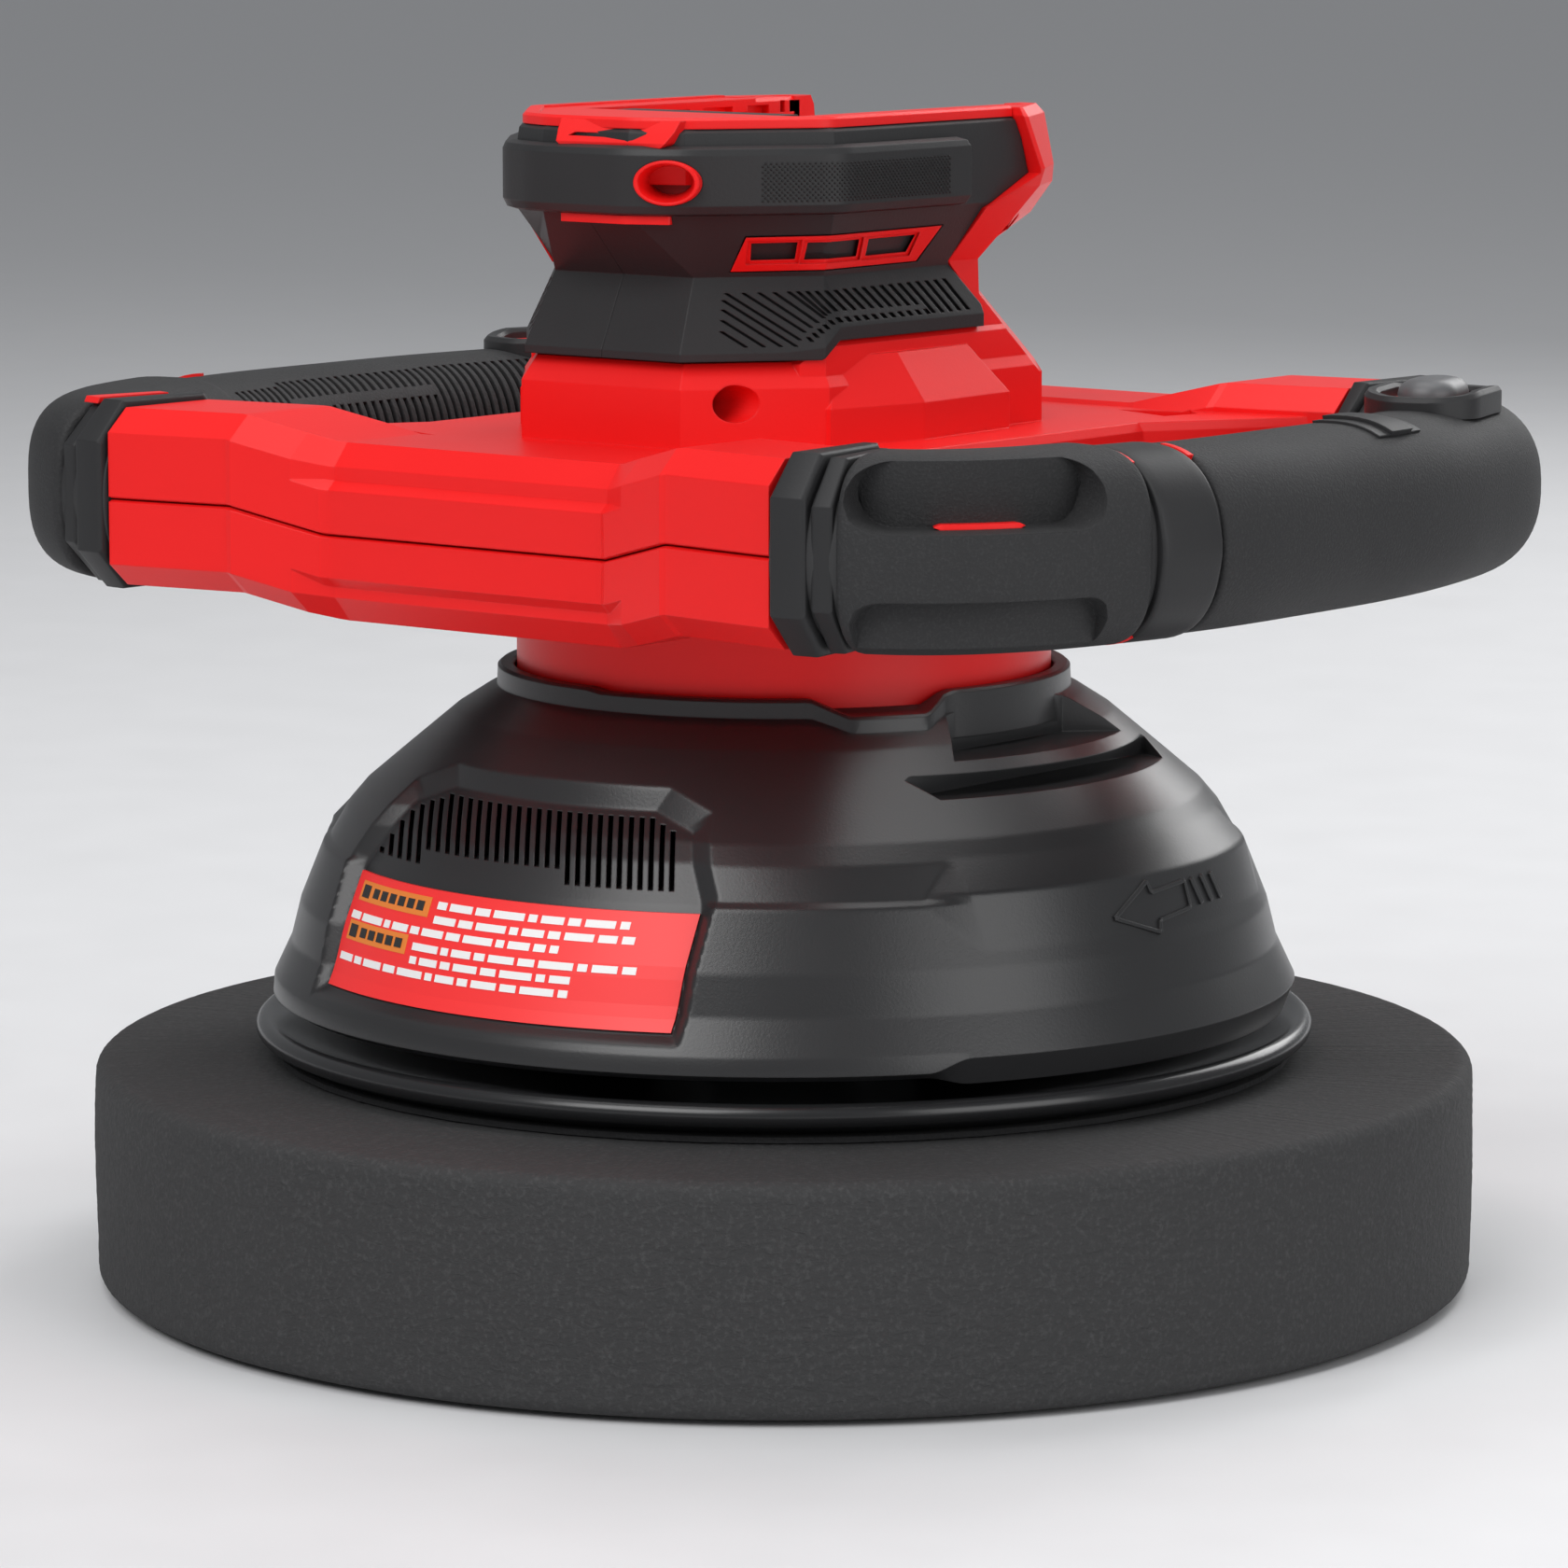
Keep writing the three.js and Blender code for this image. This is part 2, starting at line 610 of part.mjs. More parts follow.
function motorLeads() {
  [-1, 1].forEach((side) => {
    const path = new THREE.CatmullRomCurve3([
      new THREE.Vector3(side * 7, 0, 186.2), new THREE.Vector3(side * 8, -1, 190),
      new THREE.Vector3(side * 6, -6, 195), new THREE.Vector3(side * 6, -8, 202.4),
    ]);
    const section = new THREE.Shape();
    section.absarc(0, 0, 1.1, 0, 2 * Math.PI);
    const wire = new THREE.ExtrudeGeometry(section, {
      steps: 8, curveSegments: 6, bevelEnabled: false, extrudePath: path,
    });
    place(side > 0 ? 'motor_lead_positive' : 'motor_lead_negative', solid(wire),
      side > 0 ? LABEL : CARBON);
  });
}
motorLeads();

// ---------------------------------------------------------------- shroud
const SKIRT_PROFILE = [[93.9, SKIRT_BASE], [92.5, 55.3], [88.2, 70.2], [84, 80.7], [77, 91.1],
  [60.4, 105], [50.5, 112.6]];

function skirtRadius(z) {
  const above = SKIRT_PROFILE.findIndex(([, level]) => level >= z);
  const [r1, z1] = SKIRT_PROFILE[above];
  const [r0, z0] = SKIRT_PROFILE[Math.max(above - 1, 0)];
  return z1 === z0 ? r1 : r0 + ((r1 - r0) * (z - z0)) / (z1 - z0);
}

// A curved plate that follows the skirt between two offsets. Azimuth 0 is the front.
function skirtPatch(azimuths, lowAt, highAt, inner, outer, levels = 5) {
  return loft(azimuths.map((degrees) => {
    const angle = THREE.MathUtils.degToRad(degrees - 90);
    const [low, high] = [lowAt(degrees), highAt(degrees)];
    const heights = Array.from({ length: levels }, (_, k) => low + ((high - low) * k) / (levels - 1));
    const at = (offset) => (z) => {
      const radius = skirtRadius(z) + offset;
      return new THREE.Vector3(radius * Math.cos(angle), radius * Math.sin(angle), z);
    };
    return [...heights.map(at(outer)), ...heights.reverse().map(at(inner))];
  }));
}

const fan = (from, to, step) =>
  Array.from({ length: Math.round((to - from) / step) + 1 }, (_, k) => from + step * k);

function ventSlots() {
  const slots = [];
  for (let k = -7; k <= 7; k += 1) {
    const turn = THREE.MathUtils.degToRad(k * 3.5 - 90);
    const geometry = new THREE.BoxGeometry(26, 2.2, 11);
    geometry.translate(82, 0, 90.5);
    geometry.rotateZ(turn);
    slots.push(solid(geometry));
  }
  return slots;
}

function shroud() {
  const inner = [[90.9, SKIRT_BASE], [85, 70.2], [80.8, 80.3], [73.8, 90], [57.5, 103],
    [50, 108.2]];
  const skirt = lathe([...SKIRT_PROFILE, [34, 112.6], [34, 108.2], ...inner.reverse()], 48);
  const framed = skirtPatch(fan(-30.4, 30.4, 7.6), () => 55.6,
    (a) => (Math.abs(a) > 26 ? 97 : 102), -1.2, 2.4, 5);
  const window = skirtPatch(fan(-LABEL_HALF - 0.5, LABEL_HALF + 0.5, 5.5), () => 57.4,
    () => 80.6, 0.6, 6, 3);
  const holes = HUB_SCREW_ANGLES.map((angle) => cylinder(SCREW_SHANK + GAP, 100, 115, {
    x: HUB_SCREW_RADIUS * Math.cos(angle), y: HUB_SCREW_RADIUS * Math.sin(angle), sides: 12,
  }));
  return cut(
    cut(join(skirt, framed), window),
    ...ventSlots(),
    ...holes,
  );
}

place('shroud', shroud(), SKIRT);
place('shroud_label', skirtPatch(fan(-LABEL_HALF, LABEL_HALF, 5.4), () => 58, () => 80,
  1.3, 1.9, 3), LABEL);

HUB_SCREW_ANGLES.forEach((angle, k) => {
  const spot = { x: HUB_SCREW_RADIUS * Math.cos(angle), y: HUB_SCREW_RADIUS * Math.sin(angle) };
  const head = cylinder(3.2, 105.2, 107.9, { ...spot, sides: 12 });
  const shank = cylinder(SCREW_SHANK, 107, 125, { ...spot, sides: 12 });
  place(`shroud_screw_${k + 1}`, head.add(shank), DARK_STEEL);
});

// ---------------------------------------------------------------- motor, fixed side
function motorFixed() {
  place('bearing_plate', lathe([[8.5, 113.1], [42.6, 113.1], [42.6, 117], [15, 117], [15, 124],
    [11.3, 124], [11.3, 115.3], [8.5, 115.3]]), ALUMINIUM);
  place('lower_bearing_outer', tube(9.2, 11, 115.6, 122.6, 24), STEEL);
  place('motor_can', lathe([[9, MOTOR_BASE], [MOTOR_RADIUS, MOTOR_BASE],
    [MOTOR_RADIUS, MOTOR_TOP], [23.5, MOTOR_TOP], [23.5, MOTOR_BASE + 2], [9, MOTOR_BASE + 2]]),
  DARK_STEEL);
  [0, Math.PI].forEach((turn, k) => {
    const arc = new THREE.Shape();
    arc.absarc(0, 0, 23.2, turn - 1.2, turn + 1.2, false);
    arc.absarc(0, 0, 20.2, turn + 1.2, turn - 1.2, true);
    const geometry = new THREE.ExtrudeGeometry(arc, {
      depth: 34, curveSegments: 10, bevelEnabled: false,
    });
    geometry.translate(0, 0, 131);
    place(`motor_magnet_${k + 1}`, solid(geometry), MAGNET);
  });
  const channel = box(-17.5, 17.5, -2.8, 2.8, 168, 174.6);
  place('brush_holder', tube(11.5, 23.2, 167, 175.5, 28).subtract(channel), CARBON);
  place('brush_1', box(8.8, 17.2, -2.5, 2.5, 168.3, 174.3), MAGNET);
  place('brush_2', box(-17.2, -8.8, -2.5, 2.5, 168.3, 174.3), MAGNET);
  place('motor_end_bell', lathe([[0, 183], [6.5, 183], [6.5, 181.5], [8.3, 181.5],
    [8.3, MOTOR_TOP + GAP], [MOTOR_RADIUS, MOTOR_TOP + GAP], [MOTOR_RADIUS, 182], [11, 182],
    [11, 185.5], [0, 185.5]]), ALUMINIUM);
  place('upper_bearing_outer', tube(6.3, 8, 176.8, 181.2, 24), STEEL);
}
motorFixed();

// ---------------------------------------------------------------- drive rotor
function armatureCore() {
  const slots = 8;
  const outline = [];
  for (let k = 0; k < slots; k += 1) {
    const turn = (2 * Math.PI * k) / slots;
    [[-0.3, 19.3], [0, 19.3], [0.3, 19.3], [0.33, 12], [0.4, 12]].forEach(([angle, radius]) => {
      outline.push([radius * Math.cos(turn + angle), radius * Math.sin(turn + angle)]);
    });
  }
  return prism(outline, 134, 162).subtract(cylinder(SHAFT_TOP_RADIUS + GAP, 133, 163));
}

function eccentricHub() {
  const away = CRANK_ANGLE + Math.PI;
  const lobe = new THREE.Shape();
  lobe.absarc(0, 0, 50, away - 0.75, away + 0.75, false);
  lobe.absarc(0, 0, 20, away + 0.75, away - 0.75, true);
  const weight = new THREE.ExtrudeGeometry(lobe, {
    depth: 10, curveSegments: 10, bevelEnabled: false,
  });
  weight.translate(0, 0, 74);
  const screwHole = rodAlongX(2.3, 0, 14, { z: 88.5, sides: 12 });
  return cut(
    join(cylinder(25, 61, 84), cylinder(11, 83.5, 93, { sides: 24 }), solid(weight)),
    cylinder(18.3, 60, 80.5, { x: CRANK_X, y: CRANK_Y }),
    cylinder(SHAFT_RADIUS + GAP, 80, 94, { sides: 24 }),
    screwHole,
  );
}

function coolingFan() {
  const blades = Array.from({ length: 12 }, (_, k) => {
    const blade = new THREE.BoxGeometry(19, 1.6, 7.2);
    blade.rotateZ(0.5);
    blade.translate(28, 0, 99.4);
    blade.rotateZ((2 * Math.PI * k) / 12);
    return solid(blade);
  });
  return cut(
    join(cylinder(39, 94, 96), cylinder(10, 95.5, 104, { sides: 24 }), ...blades),
    cylinder(SHAFT_RADIUS + GAP, 93, 105, { sides: 24 }),
  );
}

function driveRotor() {
  place('motor_shaft', lathe([[0, 82], [SHAFT_RADIUS, 82], [SHAFT_RADIUS, 125.5],
    [SHAFT_TOP_RADIUS, 125.5], [SHAFT_TOP_RADIUS, 182.5], [0, 182.5]], 24), STEEL);
  place('armature_core', armatureCore(), DARK_STEEL);
  place('winding_lower', tube(8, 17, 129.3, 133.7, 28), COPPER);
  place('winding_upper', tube(8, 17, 162.3, 166.2, 28), COPPER);
  place('commutator', tube(SHAFT_TOP_RADIUS + GAP, 8.4, 167, 175, 24), COPPER);
  place('cooling_fan', coolingFan(), CARBON);
  place('lower_bearing_inner', tube(SHAFT_RADIUS + GAP, 7.2, 115.6, 122.6, 24), STEEL);
  place('upper_bearing_inner', tube(SHAFT_TOP_RADIUS + GAP, 5.4, 176.8, 181.2, 24), STEEL);
  place('eccentric_hub', eccentricHub(), DARK_STEEL);
  place('hub_set_screw', rodAlongX(2, 5.5, 10.6, { z: 88.5, sides: 12 }), STEEL);
}
driveRotor();

// ---------------------------------------------------------------- pad assembly, on the crank
function onCrank(mesh) {
  mesh.position.set(CRANK_X, CRANK_Y, 0);
}

function padAssembly() {
  onCrank(place('spindle_bearing_outer', tube(14, 18, 62, 77), STEEL));
  onCrank(place('spindle_bearing_inner', tube(8, 11, 62, 77), STEEL));
  onCrank(place('pad_spindle', lathe([[4.4, 55.8], [14, 55.8], [14, 59.5], [10.5, 61.6], [7.7, 61.6],
    [7.7, 77.6], [6.2, 77.6], [6.2, 79], [7.7, 79], [7.7, 80], [0, 80], [0, 74], [4.4, 74]], 20),
  STEEL));
  onCrank(place('spindle_circlip', tube(6.5, 9.4, 77.8, 78.8, 20), DARK_STEEL));
  onCrank(place('backing_plate', lathe([[10, 42.6], [95.5, 42.6], [97.6, 44.6], [97.2, 46.4],
    [95, 47.4], [90.5, 48.3], [89.5, 51], [86.5, 51], [86, 48.2], [70, 46.8], [34, 47.5],
    [22, 55.5], [4.4, 55.5], [4.4, 47], [10, 47]], 44), SKIRT));
  onCrank(place('hook_face', tube(12, 94, 41.3, 42.3, 48), HOOK));
  const head = cylinder(7.4, 41, 45.3, { sides: 20 });
  const flange = cylinder(9, 45, 46.7, { sides: 20 });
  const shank = cylinder(4.1, 46, 72, { sides: 20 });
  const socket = cylinder(3, 40, 43.5, { sides: 6 });
  onCrank(place('pad_bolt', cut(join(head, flange, shank), socket), DARK_STEEL));
  onCrank(place('foam_pad', lathe([[0, 0], [PAD_RADIUS - 2.5, 0], [PAD_RADIUS, 2.5],
    [PAD_RADIUS, PAD_HEIGHT - 2], [PAD_RADIUS - 2, PAD_HEIGHT], [12, PAD_HEIGHT], [12, 34],
    [0, 34]], 52), FOAM));
}
padAssembly();

export default whole;
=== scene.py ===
"""Looks of the dual action polisher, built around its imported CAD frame.

Lengths are millimetres until build() scales them. +Z is up, the label faces -Y, the power
button is on the +X side and the battery slides in from +Y. Azimuth 0 is the front and grows
towards +X.
"""

import math

import bmesh
import bpy
import numpy as np
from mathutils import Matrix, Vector, noise


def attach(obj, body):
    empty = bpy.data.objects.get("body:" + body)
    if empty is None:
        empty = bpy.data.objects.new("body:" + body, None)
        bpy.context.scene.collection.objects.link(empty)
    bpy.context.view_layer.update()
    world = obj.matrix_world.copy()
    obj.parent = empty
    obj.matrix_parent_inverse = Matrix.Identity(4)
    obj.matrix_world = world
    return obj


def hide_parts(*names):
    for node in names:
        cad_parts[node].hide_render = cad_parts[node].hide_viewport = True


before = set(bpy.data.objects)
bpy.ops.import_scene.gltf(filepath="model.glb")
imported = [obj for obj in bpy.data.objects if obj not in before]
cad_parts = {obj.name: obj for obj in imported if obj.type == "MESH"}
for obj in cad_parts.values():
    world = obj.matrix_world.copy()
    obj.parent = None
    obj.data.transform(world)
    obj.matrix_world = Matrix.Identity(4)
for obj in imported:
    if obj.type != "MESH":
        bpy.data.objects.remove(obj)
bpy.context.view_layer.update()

MM = 0.001


# ------------------------------------------------------------------ shapes as (points, faces)
def merge(*shapes):
    """Several shapes as one list of points and faces."""
    points, faces = [], []
    for some_points, some_faces in shapes:
        base = len(points)
        points += [tuple(p) for p in some_points]
        faces += [[base + i for i in face] for face in some_faces]
    return points, faces


def loft(rings, closed=False):
    """Skins equal rings of points. Open runs get a flat cap at each end."""
    size = len(rings[0])
    points = [tuple(p) for ring in rings for p in ring]
    spans = len(rings) if closed else len(rings) - 1
    faces = []
    for s in range(spans):
        here, there = s * size, ((s + 1) % len(rings)) * size
        for k in range(size):
            k2 = (k + 1) % size
            faces.append([here + k, here + k2, there + k2, there + k])
    if not closed:
        faces.append(list(range(size))[::-1])
        faces.append([len(points) - size + k for k in range(size)])
    return points, faces


def level(outline, z):
    """A plan outline lifted to one height."""
    return [(x, y, z) for x, y in outline]


def prism(outline, low, high):
    """A plan outline extruded upwards."""
    return loft([level(outline, low), level(outline, high)])


def prism_x(outline, start, end):
    """An outline in (y, z) extruded along X."""
    return loft([[(x, y, z) for y, z in outline] for x in (start, end)])


def prism_y(outline, start, end):
    """An outline in (x, z) extruded along Y."""
    return loft([[(x, y, z) for x, z in outline] for y in (start, end)])


def box(x0, x1, y0, y1, z0, z1):
    """A block between two corners."""
    return prism([(x0, y0), (x1, y0), (x1, y1), (x0, y1)], z0, z1)


def full_turn(sides):
    """Evenly spread angles around a full turn."""
    return [2 * math.pi * k / sides for k in range(sides)]


def rod(start, end, radius, sides=24):
    """A round bar from one point to another."""
    a, b = Vector(start), Vector(end)
    axis = (b - a).normalized()
    side = axis.orthogonal().normalized()
    up = axis.cross(side)
    return loft([[tuple(centre + radius * (math.cos(t) * side + math.sin(t) * up))
                  for t in full_turn(sides)] for centre in (a, b)])


def lathe(profile, sides=192):
    """A closed outline in (radius, z) turned about the machine axis."""
    rings = [[(r * math.cos(turn), r * math.sin(turn), z) for r, z in profile]
             for turn in full_turn(sides)]
    return loft(rings, closed=True)


def solid_lathe(profile, sides=192):
    """A profile that starts and ends on the machine axis, turned into a solid."""
    rings = [[(r * math.cos(turn), r * math.sin(turn), z) for turn in full_turn(sides)]
             for r, z in profile]
    return loft(rings)


def inset(outline, distance):
    """Moves every edge of a convex anticlockwise outline inwards."""
    count = len(outline)
    edges = []
    for k in range(count):
        (x0, y0), (x1, y1) = outline[k], outline[(k + 1) % count]
        length = math.hypot(x1 - x0, y1 - y0)
        nx, ny = -(y1 - y0) / length, (x1 - x0) / length
        edges.append((nx, ny, nx * x0 + ny * y0 + distance))
    moved = []
    for k in range(count):
        ax, ay, ao = edges[k - 1]
        bx, by, bo = edges[k]
        det = ax * by - ay * bx
        moved.append(((ao * by - bo * ay) / det, (ax * bo - bx * ao) / det))
    return moved


def rounded(outline, radius, steps=4):
    """Rounds the corners of a plan outline."""
    done = []
    count = len(outline)
    for k in range(count):
        before, here, after = (Vector(outline[k - 1]), Vector(outline[k]),
                               Vector(outline[(k + 1) % count]))
        to_before, to_after = (before - here), (after - here)
        room = min(radius, to_before.length * 0.45, to_after.length * 0.45)
        start, end = here + to_before.normalized() * room, here + to_after.normalized() * room
        for s in range(steps + 1):
            t = s / steps
            point = start * (1 - t) ** 2 + here * 2 * t * (1 - t) + end * t ** 2
            done.append((point.x, point.y))
    return done


def mirrored(right_half):
    """A symmetric outline from its right half, listed front to rear."""
    return right_half + [(-x, y) for x, y in reversed(right_half)]


def flip_x(shape):
    """The same shape on the other side of the machine."""
    points, faces = shape
    return [(-x, y, z) for x, y, z in points], [face[::-1] for face in faces]


def sided(shape, side):
    """A right-hand shape, or its mirror image for the left side."""
    return shape if side > 0 else flip_x(shape)


def flip_y(shape):
    """The same shape at the other end of the machine."""
    points, faces = shape
    return [(x, -y, z) for x, y, z in points], [face[::-1] for face in faces]


# ------------------------------------------------------------------ Blender objects
def build(name, shape):
    """A mesh object in metres with its faces turned outwards."""
    points, faces = shape
    mesh = bpy.data.meshes.new(name)
    mesh.from_pydata((np.array(points, float) * MM).tolist(), [], faces)
    work = bmesh.new()
    work.from_mesh(mesh)
    bmesh.ops.remove_doubles(work, verts=work.verts, dist=1e-6)
    bmesh.ops.recalc_face_normals(work, faces=work.faces)
    work.to_mesh(mesh)
    work.free()
    piece = bpy.data.objects.new(name, mesh)
    bpy.context.scene.collection.objects.link(piece)
    return piece


def settle(piece):
    """Applies the modifiers of a piece."""
    bpy.context.view_layer.update()
    graph = bpy.context.evaluated_depsgraph_get()
    mesh = bpy.data.meshes.new_from_object(piece.evaluated_get(graph))
    old = piece.data
    piece.modifiers.clear()
    piece.data = mesh
    bpy.data.meshes.remove(old)


def combine(piece, shape, operation):
    """Joins, cuts or trims a piece with another closed shape."""
    tool = build("tool", shape)
    step = piece.modifiers.new("combine", "BOOLEAN")
    step.operation = operation
    step.solver = "MANIFOLD"
    step.object = tool
    settle(piece)
    old = tool.data
    bpy.data.objects.remove(tool)
    bpy.data.meshes.remove(old)
    return piece


def cut(piece, *shapes):
    """Takes shapes away from a piece."""
    for shape in shapes:
        combine(piece, shape, "DIFFERENCE")
    return piece


def join(piece, *shapes):
    """Adds shapes to a piece."""
    for shape in shapes:
        combine(piece, shape, "UNION")
    return piece


def trim(piece, shape):
    """Keeps only the part of a piece inside a shape."""
    return combine(piece, shape, "INTERSECT")


def dress(piece, material, body="housing", stands_for=(), angle=32):
    """Gives a piece its material and its body, and hides the CAD nodes that it stands for."""
    piece.data.materials.clear()
    piece.data.materials.append(material)
    piece.data.shade_smooth()
    piece.data.set_sharp_from_angle(angle=math.radians(angle))
    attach(piece, body)
    if stands_for:
        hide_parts(*stands_for)
    return piece


# ------------------------------------------------------------------ materials
def mix_colour(nodes, links, factor, first, second):
    """A node that blends a colour, or a socket, with a second colour by a factor."""
    node = nodes.new("ShaderNodeMix")
    node.data_type = "RGBA"
    links.new(factor, node.inputs["Factor"])
    if isinstance(first, bpy.types.NodeSocket):
        links.new(first, node.inputs["A"])
    else:
        node.inputs["A"].default_value = (*first, 1)
    node.inputs["B"].default_value = (*second, 1)
    return node.outputs["Result"]


def noise_node(nodes, links, where, scale, detail=3.0, rough=0.5):
    """A noise texture read at some coordinates."""
    node = nodes.new("ShaderNodeTexNoise")
    node.inputs["Scale"].default_value = scale
    node.inputs["Detail"].default_value = detail
    node.inputs["Roughness"].default_value = rough
    links.new(where, node.inputs["Vector"])
    return node


def finish(name, colour, roughness, metallic=0.0, grain=0.0, grain_size=0.6, mottle=0.08,
           edge=0.35, speckle=0.0, coat=0.0, specular=0.5):
    """A moulded or metal finish. Grain is its relief in mm, grain_size its pitch in mm, mottle
    the slow change of its shade, speckle the share of pale specks, edge its edge radius in mm."""
    material = bpy.data.materials.new(name)
    material.use_nodes = True
    nodes, links = material.node_tree.nodes, material.node_tree.links
    shader = nodes["Principled BSDF"]
    shader.inputs["Metallic"].default_value = metallic
    shader.inputs["Coat Weight"].default_value = coat
    shader.inputs["Coat Roughness"].default_value = 0.25
    shader.inputs["Specular IOR Level"].default_value = specular
    where = nodes.new("ShaderNodeTexCoord").outputs["Object"]
    slow = noise_node(nodes, links, where, 35, 2).outputs["Fac"]
    dark = [c * (1 - mottle) for c in colour]
    light = [min(1, c * (1 + mottle)) for c in colour]
    shade = mix_colour(nodes, links, slow, dark, light)
    fine = noise_node(nodes, links, where, 1000 / grain_size, 3, 0.6).outputs["Fac"]
    if speckle:
        level_of = nodes.new("ShaderNodeMapRange")
        level_of.inputs["From Min"].default_value = 0.5
        level_of.inputs["From Max"].default_value = 0.72
        links.new(fine, level_of.inputs["Value"])
        pale = [min(1, c + speckle) for c in colour]
        shade = mix_colour(nodes, links, level_of.outputs["Result"], shade, pale)
    links.new(shade, shader.inputs["Base Color"])
    spread = nodes.new("ShaderNodeMapRange")
    spread.inputs["To Min"].default_value = roughness * 0.88
    spread.inputs["To Max"].default_value = min(1, roughness * 1.12)
    links.new(slow, spread.inputs["Value"])
    links.new(spread.outputs["Result"], shader.inputs["Roughness"])
    bump = nodes.new("ShaderNodeBump")
    bump.inputs["Strength"].default_value = 1.0
    bump.inputs["Distance"].default_value = grain * MM
    links.new(fine, bump.inputs["Height"])
    if edge:
        round_edge = nodes.new("ShaderNodeBevel")
        round_edge.samples = 4
        round_edge.inputs["Radius"].default_value = edge * MM
        links.new(round_edge.outputs["Normal"], bump.inputs["Normal"])
    links.new(bump.outputs["Normal"], shader.inputs["Normal"])
    return material


def foam_finish():
    """Grey foam: grainy on the flat faces, with grain drawn out sideways on the rim."""
    material = finish("foam", (0.036, 0.036, 0.037), 0.86, grain=0.18, grain_size=0.9,
                      mottle=0.12, edge=0, speckle=0.02, specular=0.35)
    nodes, links = material.node_tree.nodes, material.node_tree.links
    where = nodes.new("ShaderNodeTexCoord").outputs["Object"]
    parts = nodes.new("ShaderNodeSeparateXYZ")
    links.new(where, parts.inputs["Vector"])
    turn = nodes.new("ShaderNodeMath")
    turn.operation = "ARCTAN2"
    links.new(parts.outputs["Y"], turn.inputs[0])
    links.new(parts.outputs["X"], turn.inputs[1])
    around = nodes.new("ShaderNodeMath")
    around.operation = "MULTIPLY"
    around.inputs[1].default_value = 0.127 * 0.55
    links.new(turn.outputs["Value"], around.inputs[0])
    unrolled = nodes.new("ShaderNodeCombineXYZ")
    links.new(around.outputs["Value"], unrolled.inputs["X"])
    links.new(parts.outputs["Z"], unrolled.inputs["Y"])
    creases = noise_node(nodes, links, unrolled.outputs["Vector"], 620, 5, 0.62)
    creases.inputs["Distortion"].default_value = 1.1
    bump = nodes.new("ShaderNodeBump")
    bump.inputs["Distance"].default_value = 0.42 * MM
    links.new(creases.outputs["Fac"], bump.inputs["Height"])
    shader = nodes["Principled BSDF"]
    grain_bump = shader.inputs["Normal"].links[0].from_node
    links.new(bump.outputs["Normal"], grain_bump.inputs["Normal"])
    return material


RED = finish("red_plastic", (0.80, 0.009, 0.009), 0.38, grain=0.02, mottle=0.03, specular=0.28)
# Darker copy of the red plastic: painted shade for the floor deep in the eyelet's hole.
PAINTED_SHADE_RED = finish("red_shadow", (0.30, 0.006, 0.006), 0.5, grain=0.02)
CHARCOAL = finish("charcoal_plastic", (0.021, 0.021, 0.022), 0.45, grain=0.03, mottle=0.1,
                  specular=0.3)
RUBBER = finish("grip_rubber", (0.021, 0.021, 0.022), 0.68, grain=0.16, grain_size=0.5,
                mottle=0.06, speckle=0.012, specular=0.32)
SMOOTH_RUBBER = finish("smooth_rubber", (0.019, 0.019, 0.020), 0.5, grain=0.03, specular=0.3)
SKIRT = finish("shroud_plastic", (0.020, 0.020, 0.021), 0.33, grain=0.025, grain_size=0.5)
PLATE = finish("backing_plastic", (0.016, 0.016, 0.017), 0.24, grain=0.01, mottle=0.05)
FOAM = foam_finish()
LABEL = finish("label_red", (0.90, 0.028, 0.028), 0.45, mottle=0.02, edge=0)
LABEL_WHITE = finish("label_white", (0.85, 0.85, 0.84), 0.5, mottle=0.02, edge=0)
LABEL_AMBER = finish("label_amber", (0.78, 0.22, 0.03), 0.5, mottle=0.03, edge=0)
LABEL_BLACK = finish("label_black", (0.02, 0.02, 0.02), 0.5, mottle=0.02, edge=0)
GREY = finish("button_plastic", (0.095, 0.096, 0.10), 0.42, grain=0.02)
SCREW = finish("screw_steel", (0.20, 0.20, 0.21), 0.35, metallic=1.0)
STEEL = finish("bright_steel", (0.62, 0.62, 0.63), 0.28, metallic=1.0)
MOTOR_STEEL = finish("motor_steel", (0.33, 0.33, 0.34), 0.42, metallic=1.0, mottle=0.15)
ALUMINIUM = finish("cast_aluminium", (0.62, 0.63, 0.64), 0.48, metallic=1.0, grain=0.05)
MAGNET = finish("magnet", (0.05, 0.05, 0.052), 0.6, metallic=0.3, grain=0.04)
COPPER = finish("copper", (0.72, 0.30, 0.15), 0.36, metallic=1.0, mottle=0.2, grain=0.06)
NYLON = finish("black_nylon", (0.018, 0.018, 0.018), 0.52, grain=0.03)
CARBON = finish("carbon", (0.02, 0.02, 0.021), 0.7, grain=0.06)
WIRE_RED = finish("wire_red", (0.60, 0.02, 0.02), 0.45)
WIRE_BLACK = finish("wire_black", (0.02, 0.02, 0.02), 0.45)
HOOK = finish("hook_fabric", (0.012, 0.012, 0.013), 0.9, grain=0.35, grain_size=0.9, edge=0)


# ------------------------------------------------------------------ foam pad and backing plate
PAD_RADIUS = 127
PAD_TOP = 41
CRANK = 3
CRANK_TURN = math.radians(128.4)
CRANK_X = CRANK * math.cos(CRANK_TURN)
CRANK_Y = CRANK * math.sin(CRANK_TURN)


def on_crank(shape):
    """Moves a shape from the machine axis to the pad's own axis."""
    points, faces = shape
    return [(x + CRANK_X, y + CRANK_Y, z) for x, y, z in points], faces


def arc(centre_r, centre_z, radius, start, end, steps):
    """Points of an arc in the (radius, z) plane, in degrees."""
    turns = [math.radians(start + (end - start) * k / steps) for k in range(steps + 1)]
    return [(centre_r + radius * math.cos(t), centre_z + radius * math.sin(t)) for t in turns]


